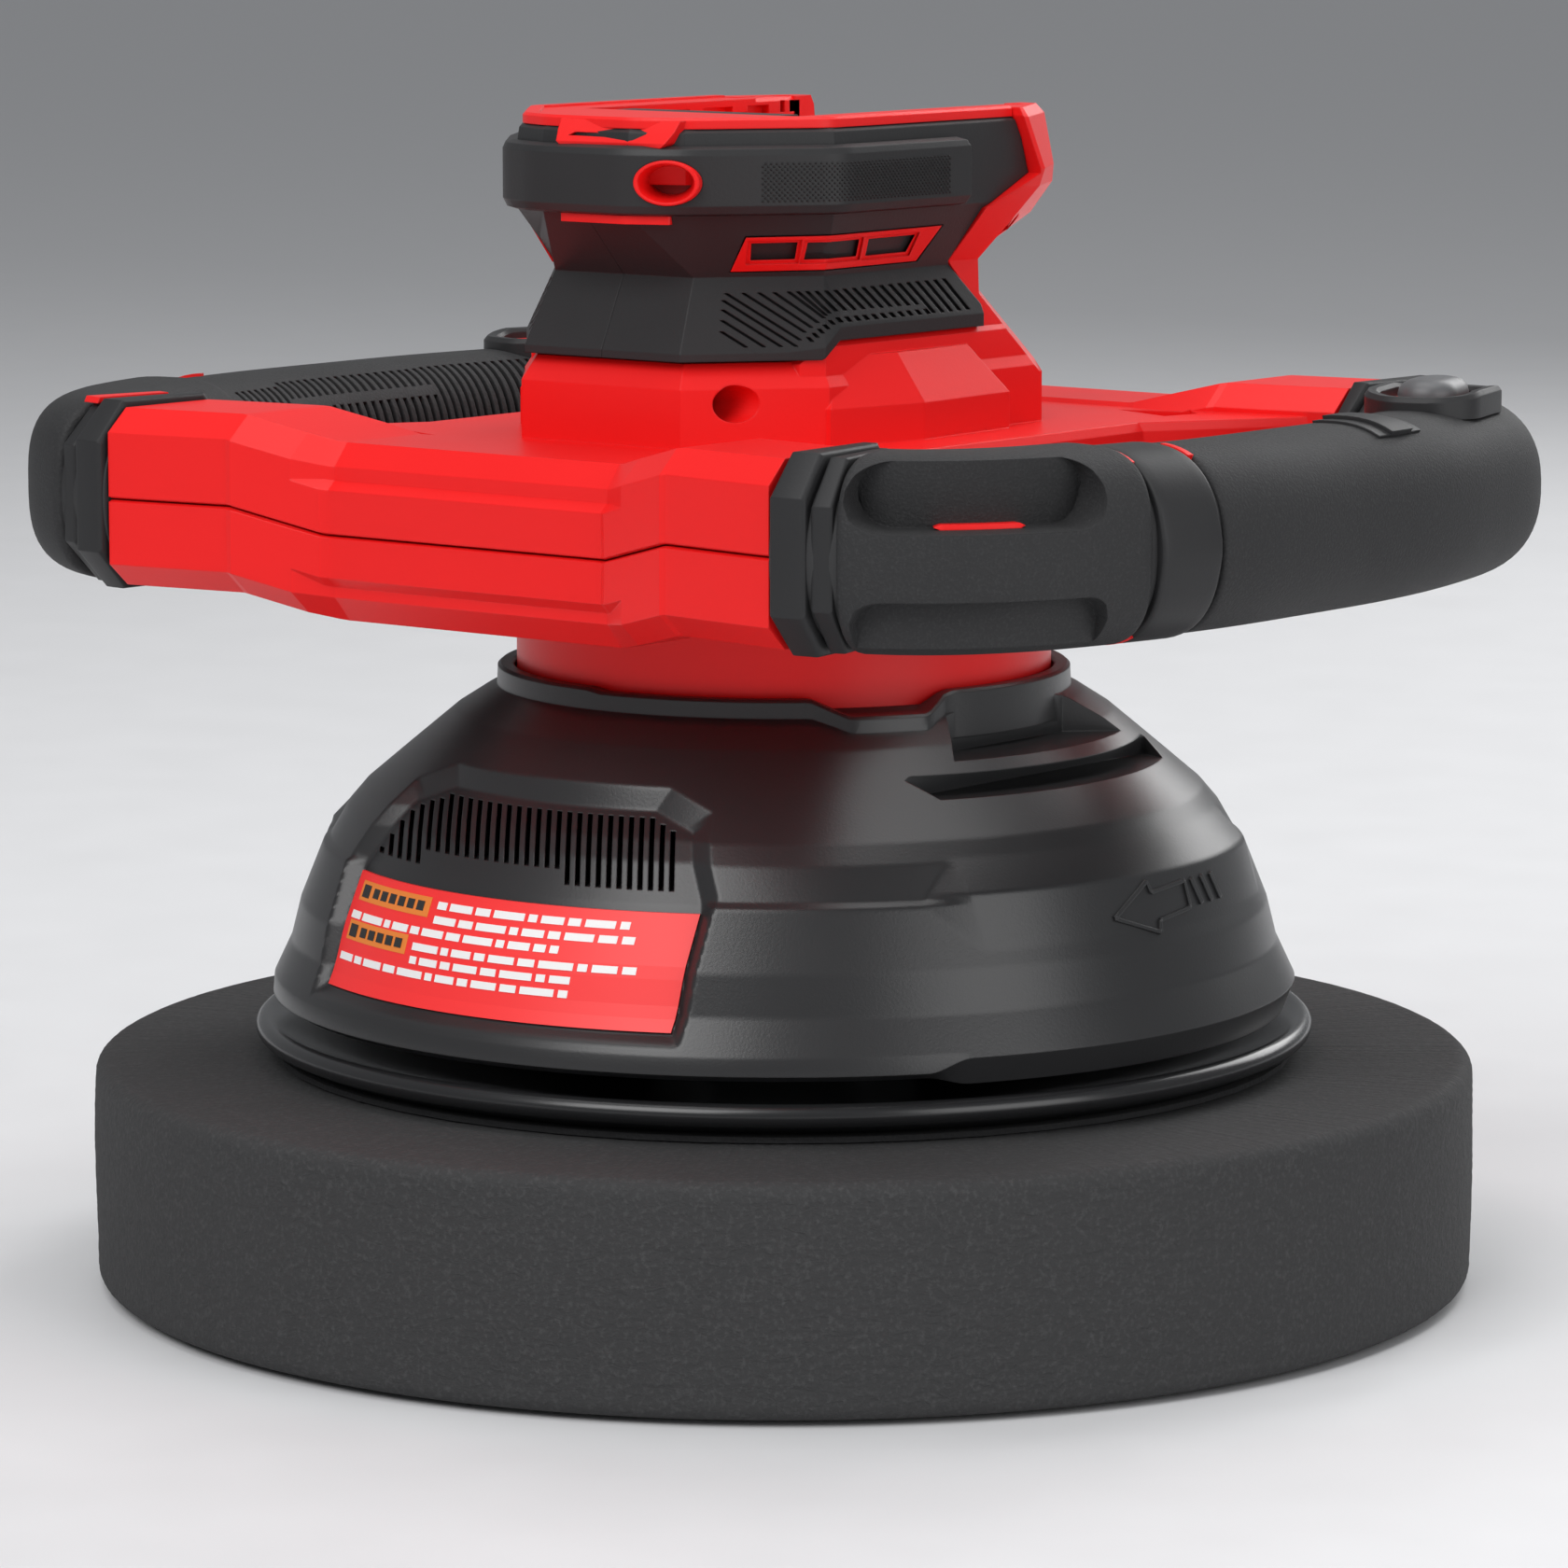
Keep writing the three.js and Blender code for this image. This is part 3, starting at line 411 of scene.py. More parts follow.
def spaced(start, end, step):
    """Numbers from start to end with about this spacing."""
    count = max(1, round(abs(end - start) / step))
    return [start + (end - start) * k / count for k in range(count + 1)]


def foam_pad():
    """The soft pad: its own dense skin, sagging a little and with a leathery open grain."""
    edge = 2.6
    rim = PAD_RADIUS - edge
    profile = [(0, 0)] + [(r, 0) for r in (30, 60, 90, 110, 120)]
    profile += arc(rim, edge, edge, -90, 0, 5)
    profile += [(PAD_RADIUS, z) for z in spaced(edge + 0.7, PAD_TOP - edge - 0.7, 0.75)]
    profile += arc(rim, PAD_TOP - edge, edge, 0, 90, 5)
    profile += [(r, PAD_TOP) for r in spaced(rim - 0.8, 84, 0.8)]
    profile += [(60, PAD_TOP), (30, PAD_TOP), (14, PAD_TOP), (13, 34.5), (0, 34.5)]
    sides = 800
    points, faces = solid_lathe(profile, sides)
    moved = []
    for x, y, z in points:
        radius = math.hypot(x, y)
        if radius < 84 or z < 0.01:
            moved.append((x, y, z))
            continue
        slow = noise.noise(Vector((x, y, z)) * 0.03)
        if z > PAD_TOP - 0.01:
            grain = noise.noise(Vector((x, y, z)) * 0.9) * 0.10
            moved.append((x, y, z + grain + 0.12 * slow))
            continue
        turn = math.atan2(y, x) * PAD_RADIUS
        grain = noise.noise(Vector((x * 0.42, y * 0.42, z * 1.0))) * 0.11
        ripple = noise.noise(Vector((turn * 0.02, z * 0.05, 7.0))) * 0.22
        swell = 0.35 * math.sin(math.pi * z / PAD_TOP)
        scale = (radius + grain + ripple + swell + 0.15 * slow) / radius
        moved.append((x * scale, y * scale, z))
    pad = build("foam_pad_skin", on_crank((moved, faces)))
    dress(pad, FOAM, "pad_assembly", ["foam_pad"], angle=60)


def backing_plate():
    """Dished plate with a rolled rim, its top sloping up to the rim like a shallow bowl."""
    profile = [(4.4, 42.7), (92.5, 42.7)]
    profile += arc(95.5, 46.4, 2.1, -75, 120, 9)
    profile += [(92.2, 47.4), (88.4, 46.4), (85.0, 45.9), (80, 45.7), (60, 46.2), (34, 48.0),
                (24, 52.0), (22, 55.4), (4.4, 55.4)]
    plate = build("backing_plate_skin", on_crank(lathe(profile, 192)))
    dress(plate, PLATE, "pad_assembly", ["backing_plate"], angle=40)


foam_pad()
backing_plate()


# ------------------------------------------------------------------ shroud
SKIRT_PROFILE = [(91.5, 50.9), (93.4, 55.8), (90, 63), (88.2, 70.2), (84, 80.7), (80, 87.6),
                 (77, 91.1), (68.7, 98.1), (60.4, 105), (54.9, 108.5), (50, 111)]
SKIRT_INSIDE = [(44, 111), (44, 95), (58, 93.5), (72, 87), (80.4, 78), (84.8, 70), (89, 58),
                (90.4, 50.9)]
POCKET_EDGE = mirrored([(42.2, 58.1), (42.2, 82.5), (34.2, 95.7), (24.7, 99.2)])
POCKET_FLOOR = mirrored([(40.4, 59.9), (40.2, 80.5), (33.2, 92.1), (24.0, 95.2)])
SIDE_PANEL = [(69.8, 88.7), (82.6, 85.0), (88.4, 79.3), (112, 30)]  # (z, radius) of its face
BAND_TOP = 81.4
BAND_RISE = 0.7
EDGE_TURN = 55.8                  # height where the skirt's lower edge turns under
NOTCH_AZIMUTH = 56.2
SLOT_TURN = math.radians(37)
SLOT_COUNT = 30
SLOT_PITCH = 1.85
SLOT_FIRST = -71.2
SLOT_WIDTH = 0.86


def skirt_radius(z):
    """Outer radius of the plain skirt at a height."""
    return float(np.interp(z, [p[1] for p in SKIRT_PROFILE], [p[0] for p in SKIRT_PROFILE]))


def ramp(distance, width):
    """1 well inside an edge, 0 well outside it, smooth across width. Inside is negative."""
    t = np.clip(0.5 - distance / width, 0, 1)
    return t * t * (3 - 2 * t)


def inside(outline, x, y):
    """Signed distance to a convex anticlockwise outline, negative inside."""
    worst = np.full(np.shape(x), -1e9)
    for k, (x0, y0) in enumerate(outline):
        x1, y1 = outline[(k + 1) % len(outline)]
        length = math.hypot(x1 - x0, y1 - y0)
        nx, ny = (y1 - y0) / length, -(x1 - x0) / length
        worst = np.maximum(worst, (x - x0) * nx + (y - y0) * ny)
    return worst


def pocket_depth(z):
    """Depth of the label pocket's floor below the plain skirt."""
    return np.interp(z, [57, 80, 95], [1.2, 2.6, 3.4])


def skirt_relief(azimuth, z, radius):
    """Radius of the shroud with its label pocket, lower band and side panels."""
    away = np.abs(azimuth)
    across = radius * np.sin(np.radians(azimuth))
    edge = inside(POCKET_EDGE, across, z)
    floor = inside(POCKET_FLOOR, across, z)
    sunk = np.where(floor <= 0, 1.0, np.clip(edge / np.minimum(edge - floor, -1e-6), 0, 1))
    sunk = np.where((edge < 0) & (away < 60), sunk, 0.0)
    band = BAND_RISE * ramp(z - BAND_TOP, 0.6) * ramp(away - 149.4, 1.2)
    raised = radius + band * (1 - sunk) - pocket_depth(z) * sunk
    flat = np.interp(z, [p[0] for p in SIDE_PANEL], [p[1] for p in SIDE_PANEL])
    side = np.minimum(away, 180 - away)
    first = np.interp(z, [73, 81.1, 88.3], [61.5, 54.8, 59.4])
    last = np.interp(z, [73, 88.3], [62.1, 60.0])
    share = np.clip((side - first) / (last - first), 0, 1)
    return np.maximum(raised, raised + (flat - raised) * share * (flat > raised))


def skirt_grid():
    """The shroud as a closed skin, one column of points per azimuth."""
    step = 0.3333
    columns = round(360 / step)
    azimuth = np.arange(columns) * 360 / columns - 180
    # The face of the skirt reaches lower in front, where its bottom edge turns under less.
    front = ramp(np.abs(azimuth) - NOTCH_AZIMUTH, 5.0)
    outer = []
    for (r0, z0), (r1, z1) in zip(SKIRT_PROFILE, SKIRT_PROFILE[1:]):
        parts = max(1, math.ceil(math.hypot(r1 - r0, z1 - z0) / (0.6)))
        outer += [(r0 + (r1 - r0) * s / parts, z0 + (z1 - z0) * s / parts)
                  for s in range(parts)]
    outer.append(SKIRT_PROFILE[-1])
    rows = []
    for radius, z in outer:
        heights = np.full(columns, z)
        reach = skirt_relief(azimuth, heights, np.full(columns, radius))
        if z < EDGE_TURN + 0.1:
            heights = heights + front * (1.4 - 0.776 * (z - 50.9))
        rows.append((reach, heights))
    for radius, z in SKIRT_INSIDE:
        lift = 1.4 * front if z < 54 else 0.0
        rows.append((np.full(columns, float(radius)), np.full(columns, z) + lift))
    turns = np.radians(azimuth - 90)
    rings = []
    for reach, heights in rows:
        rings.append(np.stack([reach * np.cos(turns), reach * np.sin(turns), heights], 1))
    return loft([r.tolist() for r in rings], closed=True)


def collar_lip():
    """Low wall around the hub, with a dip at the right front and one opposite."""
    rings = []
    sides = 288
    for k in range(sides):
        azimuth = 360 * k / sides - 180
        turned = azimuth if azimuth > 0 else azimuth + 180
        dip = float(np.interp(turned, [43.5, 50.5, 65.5, 71.5], [0, 1, 1, 0]))
        lift = 0.5 * float(np.interp(turned, [71.5, 74, 176, 180], [0, 1, 1, 0]))
        top = 113 - 2.7 * dip + lift
        reach = 52.5 + 3.9 * dip
        turn = math.radians(azimuth - 90)
        section = [(46, 105), (reach + 0.4, 105), (reach, top - 0.5), (reach - 0.6, top),
                   (49.9, top), (49.4, top - 0.5), (49.4, 107.5), (46, 107.5)]
        rings.append([(r * math.cos(turn), r * math.sin(turn), z) for r, z in section])
    return loft(rings, closed=True)


def scoop(side):
    """The stepped notch in the shoulder of the shroud beside the column."""
    upper = [(50.5, -17.5), (50.5, 17.5), (62, 29), (90, 42), (90, -42), (62, -29)]
    lower = [(55.5, -36), (55.5, 36), (95, 19), (95, -19)]
    return sided(prism(upper, 102.6, 120), side), sided(prism(lower, 97.0, 100.7), side)


def slot_reach(offset, z):
    """How far along the slots' direction a slot meets the pocket's floor, or None outside."""
    floor = skirt_radius(z) - float(pocket_depth(z))
    if floor <= abs(offset):
        return None
    reach = math.sqrt(floor * floor - offset * offset)
    azimuth = SLOT_TURN + math.atan2(offset, reach)
    across = skirt_radius(z) * math.sin(azimuth)
    return reach if inside(POCKET_FLOOR, across, z) < -0.8 else None


def vent_slots():
    """Narrow upright slots above the label, in three groups, all cut in one direction."""
    along = Vector((math.sin(SLOT_TURN), -math.cos(SLOT_TURN)))
    across = Vector((math.cos(SLOT_TURN), math.sin(SLOT_TURN)))
    slots = []
    for k in range(SLOT_COUNT):
        offset = SLOT_FIRST + SLOT_PITCH * k
        low = 85.4 if 5 <= k <= 18 else 83.0
        if slot_reach(offset, low) is None:
            continue
        high = low
        while high < 93.9 and slot_reach(offset, high + 0.3) is not None:
            high += 0.3
        near = along * (slot_reach(offset, low) + 3)
        far = along * (slot_reach(offset, high) - 11)
        left = across * (offset - SLOT_WIDTH / 2)
        right = across * (offset + SLOT_WIDTH / 2)
        plan = [far + left, near + left, near + right, far + right]
        slots.append(prism([(p.x, p.y) for p in plan], low, high))
    return merge(*slots)


def surface_strip(outline, rise, sink=0.5):
    """A flat figure laid on the skirt: a convex outline in (azimuth, z), raised by rise."""
    rings = []
    for offset in (-sink, rise):
        ring = []
        for azimuth, z in outline:
            radius = float(skirt_relief(np.array([azimuth]), np.array([z]),
                                        np.array([skirt_radius(z)]))[0]) + offset
            turn = math.radians(azimuth - 90)
            ring.append((radius * math.cos(turn), radius * math.sin(turn), z))
        rings.append(ring)
    return loft(rings)


def stroke(a, b, width, rise):
    """A raised line on the skirt between two points in (azimuth, z)."""
    (a0, z0), (a1, z1) = a, b
    per_degree = math.radians(1) * 86
    dx, dz = (a1 - a0) * per_degree, z1 - z0
    length = math.hypot(dx, dz)
    nx, nz = -dz / length * width / 2 / per_degree, dx / length * width / 2
    ends = [(a0 - nx, z0 - nz), (a1 - nx, z1 - nz), (a1 + nx, z1 + nz), (a0 + nx, z0 + nz)]
    return surface_strip(ends, rise)


def arrow(side):
    """Raised outline of an arrow that points forwards, with three bars behind it."""
    outline = [(80, 76.2), (86.5, 81.5), (87.0, 79.5), (94, 80.3), (94, 75.6), (87.6, 74.6),
               (87.2, 72.6)]
    lines = [stroke(outline[k], outline[(k + 1) % len(outline)], 0.7, 0.45)
             for k in range(len(outline))]
    for k in range(3):
        at = 95.6 + 2.5 * k
        lines.append(stroke((at, 80.4), (at + 1.2, 75.8), 1.2, 0.45))
    return sided(merge(*lines), side)


def label_plate(u0, u1, z0, z1, low, high):
    """A thin plate on the pocket's floor, between two distances across and two heights."""
    columns = []
    for u in spaced(u0, u1, 1.6):
        column = []
        for z, offset in ((z0, low), (z0, high), (z1, high), (z1, low)):
            skirt = skirt_radius(z)
            turn = math.asin(u / skirt)
            radius = skirt - float(pocket_depth(z)) + offset
            column.append((radius * math.sin(turn), -radius * math.cos(turn), z))
        columns.append(column)
    return loft(columns)


def label_pieces():
    """The red label plate with plain amber boxes and white bars in place of words."""
    bands = spaced(60.1, 79.6, 2.2)
    tiles = [label_plate(-40, 40, lo, hi, -0.3, 0.5) for lo, hi in zip(bands, bands[1:])]
    label = build("label_skin", merge(*tiles))
    dress(label, LABEL, stands_for=["shroud_label"])
    boxes = merge(label_plate(-37.5, -14.5, 75.0, 78.3, 0.45, 0.6),
                  label_plate(-37.9, -18.0, 68.3, 71.6, 0.45, 0.6))
    dress(build("label_amber_boxes", boxes), LABEL_AMBER)
    signs = [label_plate(-36.6, -34.0, 75.6, 77.7, 0.6, 0.68),
             label_plate(-37.0, -34.4, 68.9, 71.0, 0.6, 0.68)]
    signs += [label_plate(-32.6 + 2.9 * k, -30.6 + 2.9 * k, 75.9, 77.5, 0.6, 0.68)
              for k in range(6)]
    signs += [label_plate(-33.0 + 2.9 * k, -31.0 + 2.9 * k, 69.2, 70.8, 0.6, 0.68)
              for k in range(5)]
    dress(build("label_sign_bars", merge(*signs)), LABEL_BLACK)
    rows = [(-12.5, 29.0, 76.6), (-12.5, 30.5, 74.2), (-38.2, 17.0, 71.9), (-16.2, 32.5, 69.3),
            (-16.2, 20.5, 67.0), (-38.6, 22.0, 64.7)]
    bars = []
    for row, (start, end, z) in enumerate(rows):
        at = start
        word = row
        while at < end - 1.0:
            length = min((2.4, 5.6, 3.4, 6.8, 1.8, 4.6)[word % 6], end - at)
            bars.append(label_plate(at, at + length, z, z + 1.25, 0.45, 0.6))
            at += length + 0.9
            word += 1
    dress(build("label_text_bars", merge(*bars)), LABEL_WHITE)


def shroud():
    """The flared shroud with its frame, slots, scoops, collar lip and arrows."""
    skin = build("shroud_skin", skirt_grid())
    for side in (1, -1):
        cut(skin, *scoop(side))
    cut(skin, vent_slots())
    join(skin, collar_lip())
    dress(skin, SKIRT, stands_for=["shroud"], angle=35)
    marks = build("shroud_arrows", merge(arrow(1), arrow(-1)))
    dress(marks, SKIRT)
    label_pieces()


shroud()


# ------------------------------------------------------------------ red frame
CAP_X = 75
SAG = 4.4
HUB_RADIUS = 49
HUB_BORE = 43
MOTOR_BORE = 26.4
SCREW_PLACES = [(x, y) for x in (-60, 60) for y in (-82.5, 82.5)]
SEAM = 146.3
BLOCK_TOP = 172
BLOCK_PLAN = mirrored([(18.2, -52.3), (30, -37.5), (35.2, -31.5), (35.2, 31.5), (18.2, 52.3)])
DECK_PLAN = [(72, -72), (52, -40), (52, 40), (72, 72), (-72, 72), (-52, 40), (-52, -40),
             (-72, -72)]
BULGE_PLAN = [(30, -32), (35.9, -32), (40.3, -10.5), (38.9, 16.6), (35.8, 19.5), (30, 19.5)]
# Bar section as (outwards, z), at the bar's ends and along its middle.
BAR_END = [(10.4, 162.4), (15, 158.2), (15, 154.6), (15, 154.4), (15, 146.75), (14.4, 146.55),
           (14.4, 146.05), (15, 145.85), (15, 138.8), (15, 138.6), (15, 134.6), (10.6, 130.6),
           (-10.6, 130.6), (-15, 134.6), (-15, 158.2), (-10.4, 162.4)]
BAR_MIDDLE = [(9.8, 158), (13.2, 153.9), (13.2, 151.5), (15.0, 149.9), (14.9, 142.3),
              (14.3, 142.1), (14.3, 141.7), (14.9, 141.5), (15.0, 134.4), (13.3, 132.7),
              (13.3, 130.8), (9.5, 126.4), (-9.5, 126.4), (-14, 130.8), (-14, 153.7),
              (-9.8, 158)]


def bar_centre(x):
    """Distance of a bar's centre line from the machine's middle plane."""
    return float(np.interp(abs(x), [0, 31.8, 49.6, CAP_X], [74.5, 74.5, 80, 84]))


def bar_ring(x):
    """One cross-section of the front bar."""
    slope = bar_centre(x + 0.5) - bar_centre(x - 0.5)
    wide = math.sqrt(1 + slope * slope)
    low = float(np.interp(abs(x), [31.8, 49.6], [1, 0]))
    ledge = float(np.interp(abs(x), [32.6, 37.8], [1, 0]))
    ring = []
    for (u_end, z_end), (u_mid, z_mid) in zip(BAR_END, BAR_MIDDLE):
        u = u_end + ledge * (u_mid - u_end)
        z = z_end - SAG * low + ledge * (z_mid - (z_end - SAG))
        ring.append((x, -bar_centre(x) - u * wide, z))
    return ring


def bar():
    """The front bar, with its sagging middle and stepped faces."""
    half = [0, 31.2, 32.6, 37.8, 49.0, 50.2, 70]
    stations = [-x for x in reversed(half[1:])] + half
    rings = [bar_ring(x) for x in stations]
    end = [(CAP_X + 0.03 * u - 0.2, -84 - u, z) for u, z in BAR_END]
    return loft([[(-x, y, z) for x, y, z in end]] + rings + [end])


def block():
    """The column block on the deck, with its shoulder behind the front step."""
    low = level(BLOCK_PLAN, 140)
    top = level(inset(BLOCK_PLAN, 2.8), BLOCK_TOP)
    piece = build("block", loft([low, level(BLOCK_PLAN, 167.6), top]))
    shoulder = build("shoulder", loft([level(inset(BLOCK_PLAN, 1.2), 165),
                                       level(inset(BLOCK_PLAN, 1.2), 174.6),
                                       level(inset(BLOCK_PLAN, 3), 176.4)]))
    trim(shoulder, prism_x([(-34.6, 165), (34, 165), (34, 180), (-27.5, 180), (-34.6, 171.6)],
                           -60, 60))
    return piece, shoulder


def bulge(side):
    """Faceted swelling on each side of the block, over the motor's brush holders."""
    shoulder = [(28, -26), (32.2, -26), (35.6, -12.5), (34.6, 9.5), (33.2, 11), (28, 11)]
    shape = loft([level(BULGE_PLAN, 150), level(BULGE_PLAN, 163.8), level(shoulder, 172.6)])
    return sided(shape, side)


def seam_side(lift, above):
    """The space above or below the stepped split between the frame halves."""
    level_end, level_mid = SEAM + lift, SEAM - SAG + lift
    far = 260 if above else 60
    outline = [(-140, level_end), (-49.6, level_end), (-31.8, level_mid), (31.8, level_mid),
               (49.6, level_end), (140, level_end), (140, far), (-140, far)]
    return prism_y(outline if above else outline[::-1], -130, 130)


def shape_of(piece):
    """The points, in millimetres, and faces of an object, which is then removed."""
    points = [tuple(v.co / MM) for v in piece.data.vertices]
    faces = [list(p.vertices) for p in piece.data.polygons]
    mesh = piece.data
    bpy.data.objects.remove(piece)
    bpy.data.meshes.remove(mesh)
    return points, faces


def rear_slope(side):
    """Room above the block's slanting rear corner facet."""
    nx, ny = 0.785, 0.619
    rings = []
    for z, away in ((166.4, 46.7), (190, 28.5)):
        rings.append([(nx * d - ny * t, ny * d + nx * t, z)
                      for d, t in ((away, -60), (120, -60), (120, 60), (away, 60))])
    return sided(loft(rings), side)


def deck_pockets():
    """Three-sided hollows in the deck beside the bars."""
    one = [(33, -58.5), (46, -63.5), (49.5, -61), (47.5, -53)]
    pocket = prism(one, 152, 160)
    return [pocket, flip_x(pocket), flip_y(pocket), flip_x(flip_y(pocket))]


def frame_halves():
    """The red clamshell: two bars, the deck between them, the block, the hub and their bores."""
    front = bar()
    piece = build("frame_whole", front)
    join(piece, flip_y(front))
    deck = loft([level(DECK_PLAN, 135), level(DECK_PLAN, 155.6),
                 level([(x * 0.985, y * 0.985) for x, y in DECK_PLAN], 157.2)])
    join(piece, deck)
    column, shoulder = block()
    join(piece, shape_of(column), shape_of(shoulder), bulge(1), bulge(-1))
    join(piece, solid_lathe([(0, 104), (HUB_RADIUS - 0.4, 104), (HUB_RADIUS, 106),
                             (HUB_RADIUS, 140), (0, 140)], 160))
    hole = rod((60, -44.4, 165.3), (14.2, -44.4, 164.9), 3.3, 40)
    cut(piece, hole, *deck_pockets())
    cut(piece, solid_lathe([(0, 100), (HUB_BORE, 100), (HUB_BORE, 118), (30, 118), (30, 126.2),
                            (MOTOR_BORE, 126.2), (MOTOR_BORE, 180), (0, 180)], 96))
    screws = [rod((x, y, 126), (x, y, 134.3), 3.7, 24) for x, y in SCREW_PLACES]
    screws += [rod((x, y, 130), (x, y, 155), 2, 16) for x, y in SCREW_PLACES]
    cut(piece, *screws)
    slope = [(31.5, 181.3), (52.4, 166.4), (70, 166.4), (70, 190), (31.5, 190)]
    cut(piece, prism_x(slope, -45, 45), rear_slope(1), rear_slope(-1))
    lower = build("frame_lower_skin", shape_of(piece))
    upper = bpy.data.objects.new("frame_upper_skin", lower.data.copy())
    bpy.context.scene.collection.objects.link(upper)
    trim(lower, seam_side(-0.15, False))
    trim(upper, seam_side(0.15, True))
    dress(upper, RED, stands_for=["frame_upper"], angle=6)
    dress(lower, RED, stands_for=["frame_lower"], angle=6)


frame_halves()


# ------------------------------------------------------------------ grips
GRIP_HALF = 16.6
GRIP_LOW = 129.5
GRIP_HIGH = 163.8
HANDLE_LOW = 130.1
HANDLE_HIGH = 162.3
HANDLE_POWER = 0.84
REST_POWER = 0.66
SECTION_TURNS = [2 * math.pi * (k + 0.5) / 64 for k in range(64)]
CORE_START = 60
GRIP_POINTS = [(75, -84), (90, -80), (100, -68), (106, -48), (109.5, -25), (110, 0),
               (109.5, 25), (106, 48), (100, 68), (90, 80), (75, 84)]
BUTTON_X, BUTTON_Y = 103.0, 58.0
BUTTON_TURN = math.radians(16.7)


def smooth_path(points, parts=40):
    """A Catmull-Rom curve through plan points, with the running length at each point."""
    (x0, y0), (x1, y1) = points[0], points[-1]
    ends = [(x0 - 15, y0 + 3.2)] + list(points) + [(x1 - 15, y1 - 3.2)]
    done = []
    for k in range(1, len(ends) - 2):
        p0, p1, p2, p3 = (np.array(ends[k + j], float) for j in (-1, 0, 1, 2))
        for s in range(parts):
            t = s / parts
            done.append(0.5 * (2 * p1 + (p2 - p0) * t + (2 * p0 - 5 * p1 + 4 * p2 - p3) * t ** 2
                               + (3 * p1 - p0 - 3 * p2 + p3) * t ** 3))
    done.append(np.array(points[-1], float))
    done = np.array(done)
    run = np.concatenate([[0], np.cumsum(np.hypot(*np.diff(done, axis=0).T))])
    return done, run


GRIP_CURVE, GRIP_RUN = smooth_path(GRIP_POINTS)
GRIP_LENGTH = float(GRIP_RUN[-1])


def grip_at(along):
    """Centre point and outward direction of the right grip at a running length."""
    here = (along, max(along - 1.0, 0.0), min(along + 1.0, GRIP_LENGTH))
    x, behind_x, ahead_x = [float(v) for v in np.interp(here, GRIP_RUN, GRIP_CURVE[:, 0])]
    y, behind_y, ahead_y = [float(v) for v in np.interp(here, GRIP_RUN, GRIP_CURVE[:, 1])]
    dx, dy = ahead_x - behind_x, ahead_y - behind_y
    length = math.hypot(dx, dy)
    return x, y, dy / length, -dx / length


def grip_ring(along, outline):
    """An outline in (outwards, z) placed across the grip."""
    x, y, nx, ny = grip_at(along)
    return [(x + u * nx, y + u * ny, z) for u, z in outline]


def squircle_point(turn, wide, middle, tall, power):
    """A point on a rounded section, by its turn from straight outwards."""
    c, s = math.cos(turn), math.sin(turn)
    return (wide * math.copysign(abs(c) ** power, c),
            middle + tall * math.copysign(abs(s) ** power, s))


def handle_point(turn, grow=0.0):
    """A point on the handle's section."""
    middle, tall = (HANDLE_LOW + HANDLE_HIGH) / 2, (HANDLE_HIGH - HANDLE_LOW) / 2 + grow
    return squircle_point(turn, GRIP_HALF + grow, middle, tall, HANDLE_POWER)


def handle_outline(grow=0.0):
    """Rounded section of the long handle."""
    return [handle_point(turn, grow) for turn in SECTION_TURNS]


def grip_outline(grow=0.0):
    """Squarer section of a grip's front part."""
    middle, tall = (GRIP_LOW + GRIP_HIGH) / 2, (GRIP_HIGH - GRIP_LOW) / 2 + grow - 0.4
    return [squircle_point(turn, GRIP_HALF + grow, middle, tall, REST_POWER)
            for turn in SECTION_TURNS]


def facet_outline(grow=0.0, corner=6.0):
    """Section with flat faces and slanted corners."""
    w, low, high = GRIP_HALF + grow, GRIP_LOW - grow, GRIP_HIGH + grow
    c = corner
    return [(w, low + c), (w, high - c), (w - c * 0.9, high), (c * 0.9 - w, high),
            (-w, high - c), (-w, low + c), (c * 0.9 - w, low), (w - c * 0.9, low)]


def grip_run(start, end, outline_of, step=1.5, edge=0.9):
    """A stretch of grip with rounded ends. outline_of(grow) gives its section."""
    turns = [math.radians(90 * k / 4) for k in range(5)]
    rounding = [(edge * (1 - math.cos(t)), -edge * (1 - math.sin(t))) for t in turns]
    stations = [(start + away, grow) for away, grow in rounding]
    stations += [(along, 0.0) for along in spaced(start + edge, end - edge, step)[1:-1]]
    stations += [(end - away, grow) for away, grow in reversed(rounding)]
    return loft([grip_ring(along, outline_of(grow)) for along, grow in stations])


def hollow(start, end):
    """Room inside the grip for the frame's red core."""
    return grip_run(start, end, lambda g: facet_outline(-3.6, 6.5), edge=0.1)


def peeled(turns, rise, depth):
    """A strip of the handle's section, from rise above its surface to depth below it."""
    return ([handle_point(t, rise) for t in turns]
            + [handle_point(t, -depth) for t in reversed(turns)])


def grip_cutter(start, end, corners, radius=3.0):
    """A cutter along the grip: corners in (outwards, z), its ends closing in a curve."""
    middle = sum(z for _, z in corners) / len(corners)
    tall = (max(z for _, z in corners) - min(z for _, z in corners)) / 2
    rings = []
    for along in spaced(start, end, 0.75):
        near = min(along - start, end - along)
        shrink = 0.0
        if near < radius:
            shrink = radius - math.sqrt(max(0.0, radius ** 2 - (radius - near) ** 2))
        scale = (tall - min(shrink, tall * 0.9)) / tall
        rings.append(grip_ring(along, [(u, middle + (z - middle) * scale) for u, z in corners]))
    return loft(rings)


